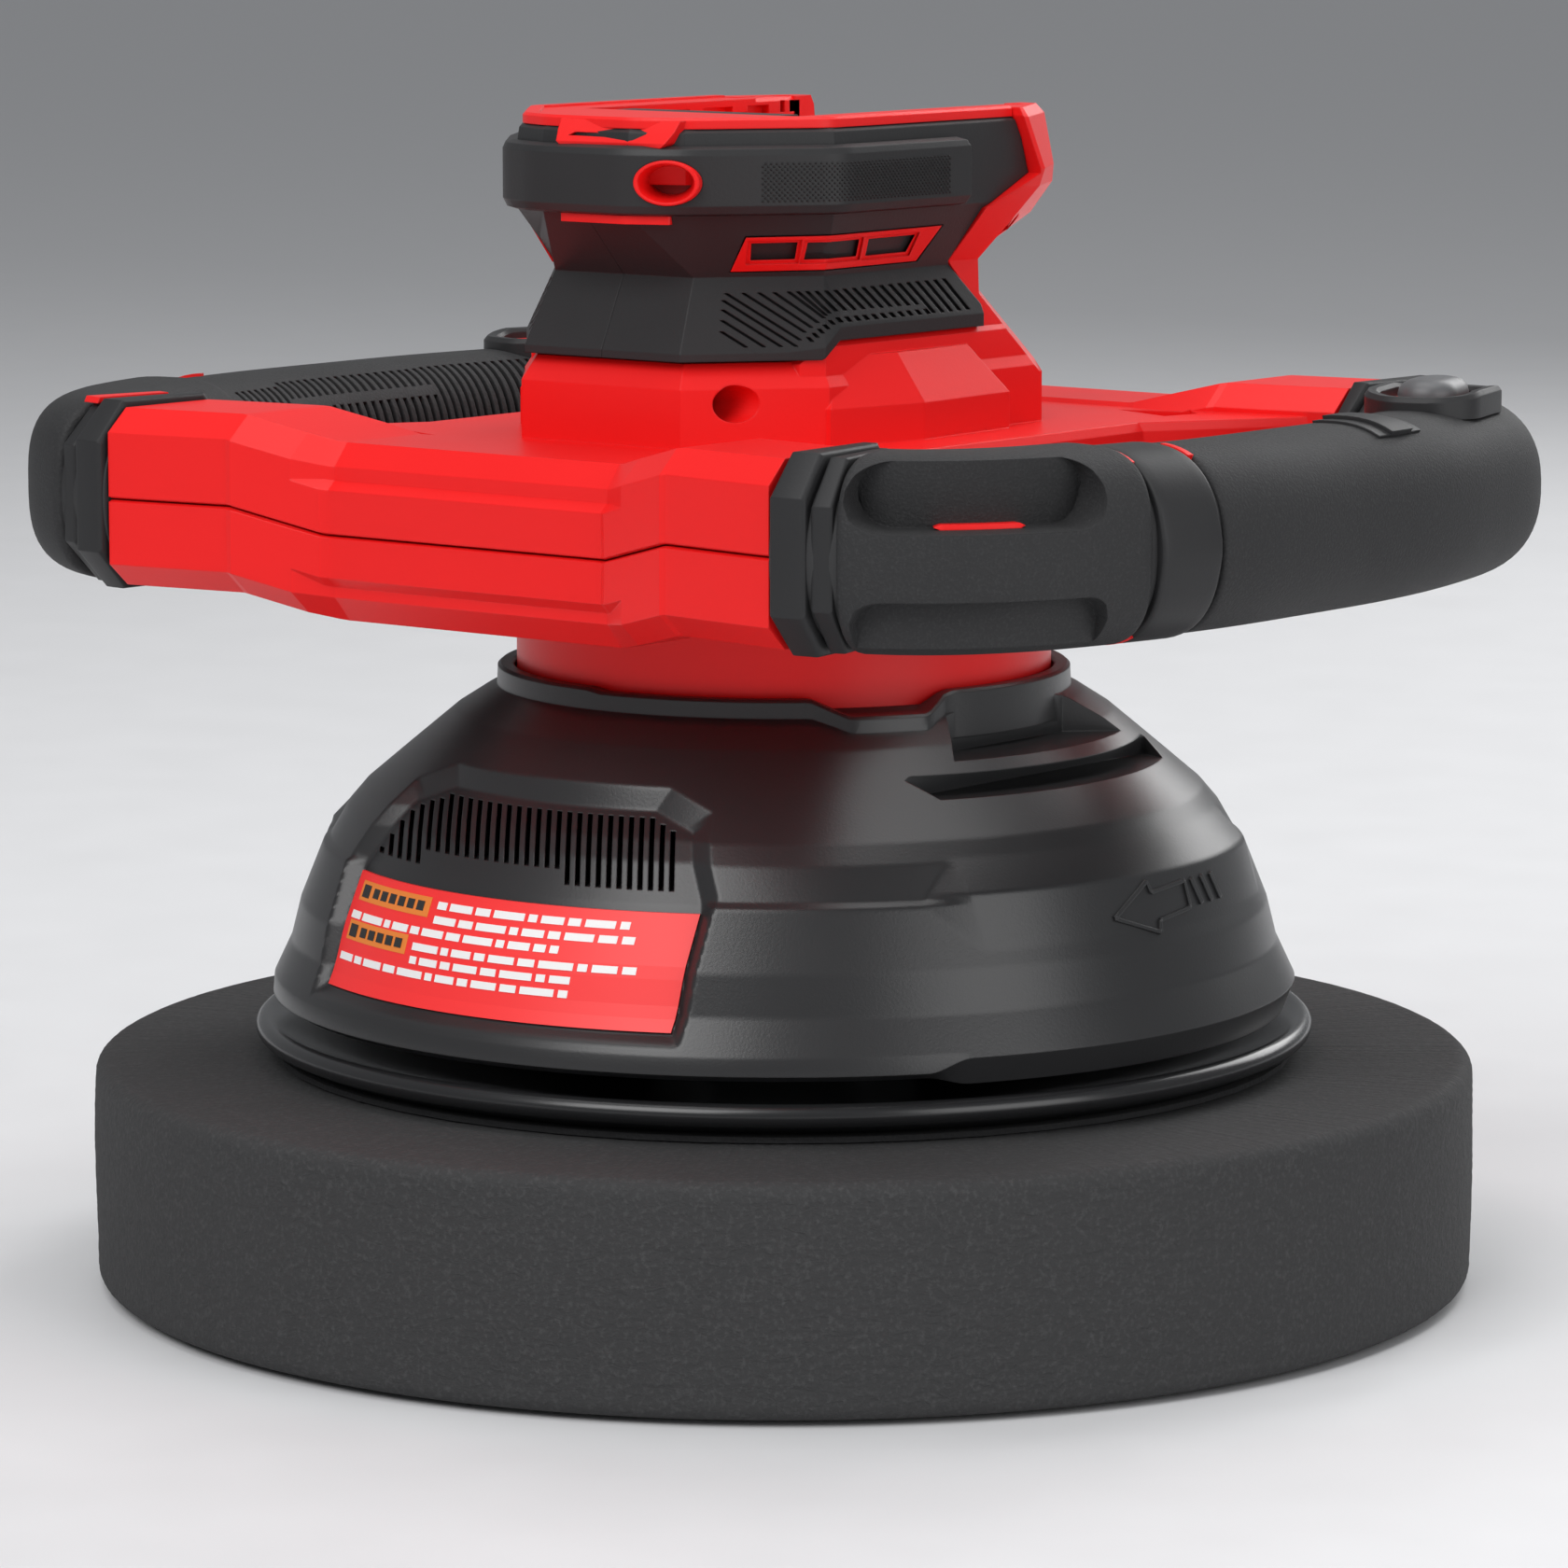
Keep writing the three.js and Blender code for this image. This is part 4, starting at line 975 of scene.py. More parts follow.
def grip_caps(side, tag):
    """Smooth faceted caps and the narrow rings next to the red bars, front and rear."""
    end = GRIP_LENGTH
    caps = [grip_run(0.4, 5.4, lambda g: facet_outline(g - 0.2, 7.0), edge=0.8),
            grip_run(5.9, 8.6, lambda g: facet_outline(g - 0.9, 7.5), edge=0.5),
            grip_run(end - 8.6, end - 5.9, lambda g: facet_outline(g - 0.9, 7.5), edge=0.5),
            grip_run(end - 5.4, end - 0.4, lambda g: facet_outline(g - 0.2, 7.0), edge=0.8)]
    piece = build(tag + "_end_caps", merge(*[sided(c, side) for c in caps]))
    dress(piece, SMOOTH_RUBBER, angle=24)


def grip_cores(side, tag):
    """Dark sleeves and red slivers seen in the grooves between grip pieces."""
    end = GRIP_LENGTH
    stretches = [(0.1, 9.6), (48.6, 52.4), (62.4, 66.0), (end - 9.6, end - 0.1)]
    sleeves = [grip_run(a, b, lambda g: handle_outline(g - 0.9), edge=0.2)
               for a, b in stretches]
    core = build(tag + "_sleeves", merge(*[sided(s, side) for s in sleeves]))
    dress(core, CARBON, angle=24)
    red = []
    for start, first, last in ((50.0, 60, 86), (63.5, 62, 84), (50.0, 276, 300)):
        section = peeled([math.radians(t) for t in spaced(first, last, 6)], 0.55, 1.6)
        red.append(loft([grip_ring(start, section), grip_ring(start + 1.2, section)]))
    dress(build(tag + "_slivers", merge(*[sided(s, side) for s in red])), RED,
          angle=24)


def thumb_rest(side, tag):
    """Textured front part of a grip; the right one has an upper and a lower thumb scoop."""
    piece = build(tag + "_thumb_rest",
                  sided(grip_run(9.0, 49.8, grip_outline, step=1.2, edge=1.3), side))
    if side > 0:
        upper = [(7.4, 151.4), (24, 150.9), (24, 163.2), (8.6, 162.6)]
        lower = [(10.5, 124), (24, 124), (24, 140.6), (12.0, 139.6)]
        cut(piece, grip_cutter(9.8, 41.0, upper, 5.0), grip_cutter(10.4, 41.5, lower, 4.0))
    dress(piece, RUBBER, angle=34)


def right_grip():
    """Right grip: end caps, thumb rest, smooth band and the long textured handle."""
    grip_caps(1, "right_grip")
    grip_cores(1, "right_grip")
    thumb_rest(1, "right_grip")
    sliver = grip_cutter(19, 31, [(6.0, 151.3), (10.0, 151.3), (9.6, 152.2), (6.0, 152.2)], 0.4)
    dress(build("right_grip_thumb_sliver", sliver), RED, angle=20)
    smooth_band(1, "right_grip")
    handle = build("right_grip_handle", grip_run(64.8, GRIP_LENGTH - 9.0, handle_outline,
                                                 edge=0.9))
    cut(handle, hollow(CORE_START, GRIP_LENGTH - 2))
    cut(handle, prism(button_plan(22, 31, 6, 3), 160.4, 172))
    cut(handle, prism(button_plan(17.4, 25.4, 3), 149.3, 172))
    dress(handle, RUBBER, stands_for=["right_grip"], angle=34)
    turns = [math.radians(t) for t in spaced(58, 100, 6)]
    for name, start, end, rise in (("plate", 115.5, 129, 0.45), ("plate_step", 119, 125.5, 1.1)):
        section = peeled(turns, rise, 1.2)
        steps = spaced(start, end, 1.5)
        piece = build("right_grip_top_" + name, loft([grip_ring(a, section) for a in steps]))
        dress(piece, SMOOTH_RUBBER, angle=24)


def smooth_band(side, tag):
    """Smooth band between the thumb rest and the handle, with a soft ridge at mid height."""
    def section(grow):
        ring = handle_outline(grow + 0.5)
        middle = (HANDLE_LOW + HANDLE_HIGH) / 2
        return [(u + (0.6 - min(0.6, abs(z - middle) * 0.12) if u > 12 else 0.0), z)
                for u, z in ring]
    band = build(tag + "_band", sided(grip_run(51.0, 63.6, section, edge=0.8), side))
    cut(band, sided(hollow(40, 90), side))
    dress(band, SMOOTH_RUBBER, angle=24)


def pill(width, length, corner):
    """A plan outline with slanted corners about the origin."""
    w, h, c = width / 2, length / 2, corner
    return [(w - c, -h), (w, c - h), (w, h - c), (w - c, h), (c - w, h), (-w, h - c),
            (-w, c - h), (c - w, -h)]


def at_button(outline):
    """Turns and moves an outline to the power button."""
    c, s = math.cos(BUTTON_TURN), math.sin(BUTTON_TURN)
    return [(BUTTON_X + x * c - y * s, BUTTON_Y + x * s + y * c) for x, y in outline]


def button_plan(width, length, corner, radius=2):
    """A rounded pill at the power button."""
    return at_button(rounded(pill(width, length, corner), radius))


def guard_ring(side):
    """Raised dark ring on top of a grip, with a wave in its rim, around the red bed."""
    outer = rounded(pill(21.4, 30.4, 6), 3)
    inner = rounded(pill(16.4, 23.6, 4.5), 2)
    rings = []
    for k in range(len(outer)):
        x0, y0 = outer[k]
        x1, y1 = inner[k]
        top = 164.6 + 1.3 * math.cos(math.pi * y0 / 30.4) ** 2
        (ox, oy), (ix, iy) = at_button([(x0, y0)])[0], at_button([(x1, y1)])[0]
        mx, my = ox + (ix - ox) * 0.22, oy + (iy - oy) * 0.22
        nx, ny = ox + (ix - ox) * 0.8, oy + (iy - oy) * 0.8
        rings.append([(ox, oy, 160.6), (ox, oy, top - 0.9), (mx, my, top), (nx, ny, top - 0.1),
                      (ix, iy, top - 0.8), (ix, iy, 160.6)])
    return sided(loft(rings, closed=True), side)


def button_pieces():
    """Guard rings on both grips, the red beds and the domed grey power button."""
    for side, name, node in ((1, "button_guard_ring", "button_bezel"),
                             (-1, "left_guard_ring", "left_grip_bezel")):
        dress(build(name, guard_ring(side)), CHARCOAL,
              stands_for=[node], angle=30)
    bed = build("button_bed", prism(button_plan(17, 25, 3), 160.7, 163.0))
    cut(bed, prism(button_plan(13.6, 21.6, 3.6), 155, 166))
    dress(bed, RED, angle=20)
    left = build("left_window", sided(prism(button_plan(16.6, 24.6, 3), 160.7, 163.4), -1))
    dress(left, RED, angle=20)
    outline = rounded(pill(11, 17, 3.2), 2)
    flange = button_plan(16.4, 24.4, 3)
    rings = [level(flange, 156.9), level(flange, 159.2)]
    for grow, z in ((-0.7, 159.3), (-0.7, 162.2), (0, 162.4), (0, 164.4), (0.25, 165.4),
                    (0.9, 166.2), (1.9, 166.8), (3.0, 167.0)):
        small = [(x * (1 - grow / 5.5), y * (1 - grow / 8.5)) for x, y in outline]
        rings.append(level(at_button(small), z))
    cap = build("power_button_cap_skin", loft(rings))
    cut(cap, rod((BUTTON_X, BUTTON_Y, 150), (BUTTON_X, BUTTON_Y, 161.6), 5.4, 40))
    dress(cap, GREY, "power_button_cap", ["power_button"], angle=30)


def rib_cutter(along, first, last):
    """A narrow slot across the inner side of the handle, between two turns of its section."""
    outline = peeled([math.radians(t) for t in spaced(first, last, 8)], 1.0, 1.3)
    return loft([grip_ring(along + shift, outline) for shift in (0.0, 1.15)])


def left_grip():
    """Left grip: thumb rest, then one long handle with rows of slots on its inner face."""
    grip_caps(-1, "left_grip")
    grip_cores(-1, "left_grip")
    thumb_rest(-1, "left_grip")
    handle = build("left_grip_handle", sided(grip_run(50.8, GRIP_LENGTH - 9.0, handle_outline,
                                                      edge=0.9), -1))
    cut(handle, sided(hollow(CORE_START, GRIP_LENGTH - 2), -1))
    cut(handle, sided(prism(button_plan(22, 31, 6, 3), 160.4, 172), -1))
    slots = []
    for k in range(55):
        along = 56.2 + 2.27 * k
        if along < 72:
            slots.append(rib_cutter(along, 122, 176))
        elif along > 114.5:
            slots.append(rib_cutter(along, 116, 176))
        else:
            slots.append(rib_cutter(along, 117, 136.5))
            slots.append(rib_cutter(along, 146, 176))
    cut(handle, sided(merge(*slots), -1))
    dress(handle, RUBBER, stands_for=["left_grip"], angle=34)
    window = [(-6.0, 162.6), (10.5, 162.6), (10.0, 163.7), (-5.0, 163.75)]
    piece = build("left_grip_top_window", sided(grip_run(5.9, 9.3, lambda g: window, edge=0.1),
                                                -1))
    dress(piece, RED, angle=24)


right_grip()
left_grip()
button_pieces()


# ------------------------------------------------------------------ neck covers and red spine
WAIST_Z = 186.8
BUMPER_LOW = 198.0
BUMPER_TOP = 210.2
RIM_LOW = 213.0
RIM_TOP = 215
FOOT_LOW = 172.4
STEP_FRONT = -32.8
STEP_REAR = -27.6
FOOT_PLAN = mirrored([(17.8, -51.8), (29.6, -37.1), (34.5, -31.8), (34.5, -27.4), (34.5, 31.5),
                      (18, 52)])
FOOT_TOP = [173.8, 173.8, 174.6, 177.9, 177.9, 177.9]
WAIST_PLAN = mirrored([(15.9, -45.6), (26.2, -32.7), (30.7, -27.5), (30.7, -24), (30.7, 20),
                       (20, 31)])
DOCK_PLAN = mirrored([(10.3, -58.9), (20.9, -54.2), (38.5, -31.9), (38.5, 27), (31, 41.5)])
FLARE_TOP = inset(DOCK_PLAN, 2.8)
FACING = (0.621, -0.784)          # plan direction that looks out through the right front corner
ALONG = (0.784, 0.621)            # plan direction across it, rearwards on the right side


def neck_solid():
    """The whole neck: foot flange, slanted sides, waist and the flare under the bumper."""
    tops = FOOT_TOP + FOOT_TOP[::-1]
    foot = level(FOOT_PLAN, FOOT_LOW)
    flange = [(x, y, z) for (x, y), z in zip(FOOT_PLAN, tops)]
    side = inset(DOCK_PLAN, 3.1)
    rings = [foot, flange, level(WAIST_PLAN, WAIST_Z)]
    rings += [level(split_side(plan), z) for plan, z in
              ((FLARE_TOP, BUMPER_LOW), (inset(DOCK_PLAN, 2.6), 209), (side, 212.4),
               (inset(DOCK_PLAN, 3.9), RIM_LOW))]
    return loft(rings)


def split_side(plan):
    """A dock plan with the waist's extra corner on each long side."""
    half = plan[:len(plan) // 2]
    (x0, y0), (x1, y1) = half[2], half[3]
    extra = (x0 + (x1 - x0) * 0.07, y0 + (y1 - y0) * 0.07)
    return mirrored(half[:3] + [extra] + half[3:])


def spine_solid():
    """The red rear of the neck, from the block up to the hooks beside the battery."""
    levels = [(160, 34.6, 31.5, 18.2, 52.3), (166.4, 34.6, 31.5, 18.2, 52.3),
              (181.3, 32.2, 16.2, 20, 31.4), (187.4, 30.9, 17.6, 20, 31.4),
              (194.7, 34.8, 23.0, 27.3, 38.4), (200.4, 37.9, 26.8, 30.4, 40.9),
              (203.6, 38.7, 27.4, 30.6, 41.1), (213.0, 37.4, 24.0, 29.2, 40.0),
              (RIM_TOP - 0.3, 36.4, 23.6, 28.0, 39.0)]
    return loft([level(mirrored([(x, -22), (x, -10), (x, y), (x2, y2)]), z)
                 for z, x, y, x2, y2 in levels])


def spine_side(grow=0.0):
    """The room behind the joint between the dark covers and the red spine."""
    joint = [(22.6, RIM_TOP + 9), (22.6, 213.2), (26.4, 202.8), (13.2, 197.0), (8.6, 187.6),
             (14.9, 179.6), (14.9, 171)]
    return prism_x([(y - grow, z) for y, z in joint] + [(80, 171), (80, RIM_TOP + 9)], -60, 60)


def plan_at(z):
    """Plan of the neck at a height between its foot and the bumper."""
    tops = FOOT_TOP + FOOT_TOP[::-1]
    flare = split_side(FLARE_TOP)
    plan = []
    for (x0, y0), z0, (x1, y1), (x2, y2) in zip(FOOT_PLAN, tops, WAIST_PLAN, flare):
        if z < WAIST_Z:
            t = min(max((z - z0) / (WAIST_Z - z0), 0.0), 1.0)
            plan.append((x0 + (x1 - x0) * t, y0 + (y1 - y0) * t))
        else:
            t = min((z - WAIST_Z) / (BUMPER_LOW - WAIST_Z), 1.0)
            plan.append((x1 + (x2 - x1) * t, y1 + (y2 - y1) * t))
    return plan


def corner_point(across, z, out):
    """A point on the neck seen from its right front corner, at a run across that view."""
    plan = plan_at(z)
    for (x0, y0), (x1, y1) in zip(plan[:5], plan[1:6]):
        a0 = x0 * ALONG[0] + y0 * ALONG[1]
        a1 = x1 * ALONG[0] + y1 * ALONG[1]
        if a0 <= across <= a1:
            t = (across - a0) / (a1 - a0)
            return (x0 + (x1 - x0) * t + out * FACING[0], y0 + (y1 - y0) * t + out * FACING[1], z)
    x, y = plan[0]
    left = x * ALONG[0] + y * ALONG[1] - across
    return (x - left / ALONG[0] + out * FACING[0], y + out * FACING[1], z)


def corner_slab(low_from, low_to, high_from, high_to, z_low, z_high, inner, outer, step=1.6):
    """A slab that follows the neck's right front corner between two heights. Its ends may
    slant: its runs are given at the low and at the high edge."""
    count = max(1, math.ceil(max(low_to - low_from, high_to - high_from) / step))
    (low0, high0), (low1, high1) = z_low, z_high
    rings = []
    for k in range(count + 1):
        t = k / count
        a_low = low_from + (low_to - low_from) * t
        a_high = high_from + (high_to - high_from) * t
        z0, z1 = low0 + (high0 - low0) * t, low1 + (high1 - low1) * t
        rings.append([corner_point(a_low, z0, inner), corner_point(a_low, z0, outer),
                      corner_point(a_high, z1, outer), corner_point(a_high, z1, inner)])
    return loft(rings)


def groove(top, bottom, width=0.75, depth=1.1):
    """A slanting groove on the corner view between two points in (across, z)."""
    (a0, z0), (a1, z1) = bottom, top
    rings = []
    for k in range(7):
        t = k / 6
        a, z = a0 + (a1 - a0) * t, z0 + (z1 - z0) * t
        rings.append([corner_point(a, z, -depth), corner_point(a, z, 2.5),
                      corner_point(a + width, z, 2.5), corner_point(a + width, z, -depth)])
    return loft(rings)


def slanted_grooves():
    """Slanting grooves on the neck's lower facets, with a row of short dashes below them."""
    grooves = []
    tops = [(-11.4, 177.6), (-11.3, 179.5), (-11.2, 181.3), (-11.1, 182.9), (-10.6, 184.1),
            (-7.6, 184.1), (-4.8, 184.1), (-2.1, 184.1)]
    tops += [(0.4 + 1.64 * k, 184.2 + 0.015 * k) for k in range(18)]
    for a0, z0 in tops:
        lean = float(np.interp(a0, [-8, 0, 4, 28], [1.6, 1.42, 1.0, 0.8]))
        a, z = a0, z0
        while z > np.interp(a, [1.8, 3.1, 8.0, 24.8, 25.2], [174.9, 177.1, 180.7, 180.5, 178.8]):
            a += 0.1 * lean
            z -= 0.1
            if z < 174.9:
                break
        grooves.append(groove((a0, z0), (a, z)))
    for k in range(5):
        a, z = 4.3 + 0.95 * k, 176.0 + 0.7 * k
        grooves.append(groove((a - 0.45, z + 0.4), (a + 0.35, z - 0.4), 0.75, 1.1))
    for k in range(11):
        a = 9.4 + 1.58 * k
        grooves.append(groove((a - 0.45, 179.6), (a + 0.35, 178.7), 0.8, 1.1))
    return grooves


def foot_step():
    """The red shoulder's room under the rear part of the neck's foot."""
    return prism_x([(STEP_FRONT, 172), (STEP_REAR, 175.6), (60, 175.6), (60, 160),
                    (STEP_FRONT, 160)], -60, 60)


def vent_frame():
    """Red surround of the cooling openings in the neck's right front corner."""
    frame_slab = corner_slab(-9.4, 23.6, -6.6, 28.3, (187.8, 188.1), (194.0, 194.3), -1.6, 0.35)
    vent = build("vent", frame_slab)
    for a0, a1, b0, b1 in ((-5.9, 1.9, -5.7, 2.4), (3.5, 12.7, 4.2, 13.3),
                           (14.4, 21.7, 15.0, 23.4)):
        cut(vent, corner_slab(a0, a1, b0, b1, (189.8, 189.9), (192.9, 193.0), -9, 3))
        cut(vent, corner_slab(a0 - 0.8, a1 + 0.6, b0 - 0.6, b1 + 0.8, (189.1, 189.2),
                              (193.3, 193.4), -0.35, 3))
    return shape_of(vent)


def neck_pieces():
    """Dark neck covers, the red vent frames and the red rear spine."""
    bore = solid_lathe([(0, 160), (26.8, 160), (26.8, 187), (12, 187), (12, 200), (0, 200)], 96)
    tray = prism(inset(DOCK_PLAN, 6), 203, 219)
    neck = build("neck_whole", neck_solid())
    cut(neck, foot_step(), bore, tray)
    pocket = corner_slab(-9.6, 23.8, -6.8, 28.6, (187.6, 187.9), (194.2, 194.5), -1.7, 5)
    for side in (1, -1):
        cut(neck, sided(pocket, side))
        for one in slanted_grooves():
            cut(neck, sided(one, side))
    cut(neck, oval_hole(5.4, 12))
    shape = shape_of(neck)
    spine = build("rear_spine_skin", spine_solid())
    trim(spine, spine_side())
    cut(spine, bore, prism([(-29, -30), (29, -30), (29, 34), (-29, 34)], 203, 219),
        box(-24.5, 24.5, 0, 60, 207.5, 225))
    holes = [rod((60, 27.0, 194.6), (28, 26.0, 193.6), 1.5, 20)]
    cut(spine, holes[0], flip_x(holes[0]))
    dress(spine, RED, stands_for=["rear_spine"], angle=8)
    vent = vent_frame()
    for side, name in ((1, "right"), (-1, "left")):
        half = build("neck_cover_" + name + "_skin", shape)
        x0, x1 = (0.03, 60) if side > 0 else (-60, -0.03)
        trim(half, box(x0, x1, -80, 80, 160, 230))
        cut(half, spine_side(0.25))
        dress(half, CHARCOAL, stands_for=["neck_cover_" + name], angle=12)
        dress(build("vent_frame_" + name, sided(vent, side)), RED, angle=12)


# ------------------------------------------------------------------ bumper and battery dock
EYELET_AT = Vector((18.0, -55.5, 203.9))
EYELET_OUT = Vector((0.405, -0.914, 0)).normalized()


def oval_ring(size, depth, shift=0.0, sides=56):
    """One ring of the oval opening in the bumper."""
    across = Vector((-EYELET_OUT.y, EYELET_OUT.x, 0))
    ring = []
    for turn in full_turn(sides):
        spot = across * (math.cos(turn) * size + shift)
        spot += Vector((0, 0, math.sin(turn) * size * 0.66))
        ring.append(tuple(EYELET_AT + spot + EYELET_OUT * depth))
    return ring


def oval_hole(size, deep):
    """A straight oval cutter through the bumper and into the cover behind it."""
    return loft([oval_ring(size, -deep), oval_ring(size, 6)])


def eyelet():
    """Red funnel in the bumper's oval hole, ending in a floor."""
    steps = [(6.0, -2.0), (6.0, 0.3), (5.8, 0.6), (5.2, 0.6), (5.0, 0.2)]
    rings = [oval_ring(size, depth) for size, depth in steps]
    rings += [oval_ring(4.5, -3.0, -0.4), oval_ring(3.6, -8.6, -1.4)]
    rings += [oval_ring(4.0, -9.6, -1.4), oval_ring(5.0, -3.0, -0.3)]
    return loft(rings, closed=True), loft([oval_ring(3.8, -8.7, -1.4), oval_ring(3.8, -8.2, -1.4)])


def bumper():
    """Soft bumper around the front and sides of the dock."""
    rings = []
    for margin, z in ((2.0, BUMPER_LOW), (0.7, BUMPER_LOW + 0.4), (0.0, BUMPER_LOW + 1.8),
                      (0.0, BUMPER_TOP - 1.6), (0.5, BUMPER_TOP - 0.5), (1.8, BUMPER_TOP)):
        rings.append(level(rounded(inset(DOCK_PLAN, margin), 3.5, 3), z))
    piece = build("dock_bumper_skin", loft(rings))
    cut(piece, prism(inset(DOCK_PLAN, 3.2), 190, 215))
    end = [(80, 190), (80, 220), (3.2, 220), (3.2, 210.3), (4.8, 209.6), (5.4, 208.2),
           (5.4, 199.8), (4.8, 198.4), (3.2, 197.8), (3.2, 190)]
    cut(piece, prism_x(end, -60, 60))
    cut(piece, oval_hole(6.0, 5))
    dress(piece, CHARCOAL, stands_for=["dock_bumper"], angle=20)


def knurl(side):
    """Small raised diamonds around the bumper's front corner and side."""
    outline = rounded(DOCK_PLAN, 3.5, 3)
    first = min(range(len(outline)), key=lambda k: math.dist(outline[k], (20.9, -54.2)))
    path = [p for p in outline[first:first + 12] if p[0] > 15]
    run = [0.0]
    for a, b in zip(path, path[1:]):
        run.append(run[-1] + math.dist(a, b))
    start = 12.8
    bumps = []
    for row in range(14):
        z = 200.6 + 0.5 * row
        for k in range(59):
            at = start + k + 0.5 * (row % 2)
            x, y = [float(np.interp(at, run, axis)) for axis in zip(*path)]
            if y > -0.6:
                break
            ahead = [float(np.interp(at + 0.2, run, axis)) for axis in zip(*path)]
            dx, dy = ahead[0] - x, ahead[1] - y
            size = math.hypot(dx, dy)
            dx, dy = dx / size, dy / size
            base = [(x - dx * 0.38, y - dy * 0.38, z), (x, y, z - 0.36),
                    (x + dx * 0.38, y + dy * 0.38, z), (x, y, z + 0.36)]
            under = [(px - dy * 0.25, py + dx * 0.25, q) for px, py, q in base]
            tip = [(x + (px - x) * 0.35 + dy * 0.3, y + (py - y) * 0.35 - dx * 0.3,
                    z + (q - z) * 0.35) for px, py, q in base]
            bumps.append(loft([under, tip]))
    return sided(merge(*bumps), side)


def dock_rim():
    """The red rim around the battery's seat, its tray and inner walls."""
    plan = rounded(inset(DOCK_PLAN, 3.6), 2.5, 3)
    rim = build("battery_dock_skin", loft([level(plan, RIM_LOW + 0.05), level(plan, RIM_TOP - 0.5),
                                           level(inset(plan, 0.6), RIM_TOP)]))
    cut(rim, prism(inset(DOCK_PLAN, 6.6), 205, 220))
    floor_plan = inset(DOCK_PLAN, 6.4)
    join(rim, prism(floor_plan, 203.2, 207.5))
    walls = build("walls", loft([level(floor_plan, 206), level(floor_plan, RIM_TOP - 0.4)]))
    cut(walls, box(-24.5, 24.5, -27, 70, 207.5, 225))
    cut(walls, box(-27.5, 27.5, -27, 70, 207.5, 212.2))
    join(rim, shape_of(walls))
    cut(rim, prism([(-60, 22.4), (60, 22.4), (60, 80), (-60, 80)], 190, 225))
    for side in (-1, 1):
        rail = [(24.5, 22), (31, 22), (31, 34.4), (29.4, 35.6), (24.5, 35.6)]
        shape = loft([level(rail, 207.6), level(rail, 213.9), level(inset(rail, 0.7), 214.6)])
        join(rim, sided(shape, side))
    for side in (-1, 1):
        for y, run in ((-15.6, 7.6), (-5.6, 8.6), (7, 8.6), (20, 6.4)):
            cut(rim, sided(box(22, 26.3, y, y + run, 211.5, 213.3), side))
        for y in (29.8, 32.6):
            cut(rim, sided(box(22, 33, y, y + 1.4, 211.8, 213.9), side))
    cut(rim, box(-24.4, 24.4, -27, 70, 211.4, 225))
    dress(rim, RED, stands_for=["battery_dock"], angle=14)


def front_tab():
    """Red tab that hangs from the rim over the strip, with a dark slot and a middle seam."""
    rings = [[(-4.6, -57.4, 209.8), (16.4, -55.4, 209.8), (16.4, -50, 209.8), (-4.6, -50, 209.8)],
             [(-5.4, -57.6, 210.6), (17.4, -55.4, 210.6), (17.4, -50, 210.6), (-5.4, -50, 210.6)],
             [(-5.6, -56.8, 212.6), (18.2, -53.6, 212.6), (18.2, -50, 212.6), (-5.6, -50, 212.6)],
             [(-5.6, -56.0, 214.5), (18.6, -52.4, 214.5), (18.6, -49, 214.5), (-5.6, -49, 214.5)]]
    tab = build("dock_front_tab", loft(rings))
    slot = [(-3.2, 211.6), (9.4, 211.4), (8.4, 212.1), (-2.0, 212.2)]
    cut(tab, prism_y(slot, -62, -55.6))
    cut(tab, prism_y([(4.4, 208), (4.6, 208), (4.6, 216), (4.4, 216)], -62, -56.6))
    dress(tab, RED, angle=10)


def dock_pieces():
    """Everything at the top: bumper, knurling, eyelet, rim, tab and the accent strip."""
    bumper()
    for side, name in ((1, "right"), (-1, "left")):
        dress(build("bumper_knurl_" + name, knurl(side)), CHARCOAL, angle=20)
    funnel, bottom = eyelet()
    dress(build("bumper_eyelet", funnel), RED, angle=30)
    # The eyelet's floor takes the darker red, painted shade at the bottom of the hole.
    dress(build("bumper_eyelet_floor", bottom), PAINTED_SHADE_RED, angle=30)
    accent = [(-5.4, -56.8), (9.4, -56.9), (17.2, -53.6), (15.4, -50), (-5.4, -50)]
    strip = rounded(accent, 0.8, 3)
    dress(build("front_accent", loft([level(strip, 196.5), level(strip, 198.0)])), RED,
          angle=20)
    dock_rim()
    front_tab()


neck_pieces()
dock_pieces()


# ------------------------------------------------------------------ internal CAD nodes
NODES_BY_FINISH = [
    (SCREW, "frame_screw_1 frame_screw_2 frame_screw_3 frame_screw_4 pinch_screw cover_screw"),
    (SCREW, "shroud_screw_1 shroud_screw_2 shroud_screw_3 hub_set_screw spindle_circlip"),
    (SCREW, "pad_bolt"),
    (STEEL, "button_spring motor_shaft pad_spindle lower_bearing_outer lower_bearing_inner"),
    (STEEL, "upper_bearing_outer upper_bearing_inner spindle_bearing_outer"),
    (STEEL, "spindle_bearing_inner contact_blade_1 contact_blade_2 contact_blade_3"),
    (STEEL, "contact_blade_4"),
    (MOTOR_STEEL, "motor_can armature_core eccentric_hub"),
    (ALUMINIUM, "bearing_plate motor_end_bell"),
    (MAGNET, "motor_magnet_1 motor_magnet_2"),
    (COPPER, "winding_lower winding_upper commutator"),
    (NYLON, "power_switch brush_holder cooling_fan terminal_block"),
    (CARBON, "brush_1 brush_2"),
    (HOOK, "hook_face"),
    (WIRE_RED, "motor_lead_positive"),
    (WIRE_BLACK, "motor_lead_negative"),
    (RED, "frame_upper frame_lower rear_spine battery_dock"),
    (RUBBER, "right_grip left_grip"),
    (CHARCOAL, "button_bezel left_grip_bezel neck_cover_right neck_cover_left dock_bumper"),
    (GREY, "power_button"),
    (SKIRT, "shroud"),
    (LABEL, "shroud_label"),
    (PLATE, "backing_plate"),
    (FOAM, "foam_pad"),
]
CAD_FINISH = {name: finish_of for finish_of, names in NODES_BY_FINISH for name in names.split()}

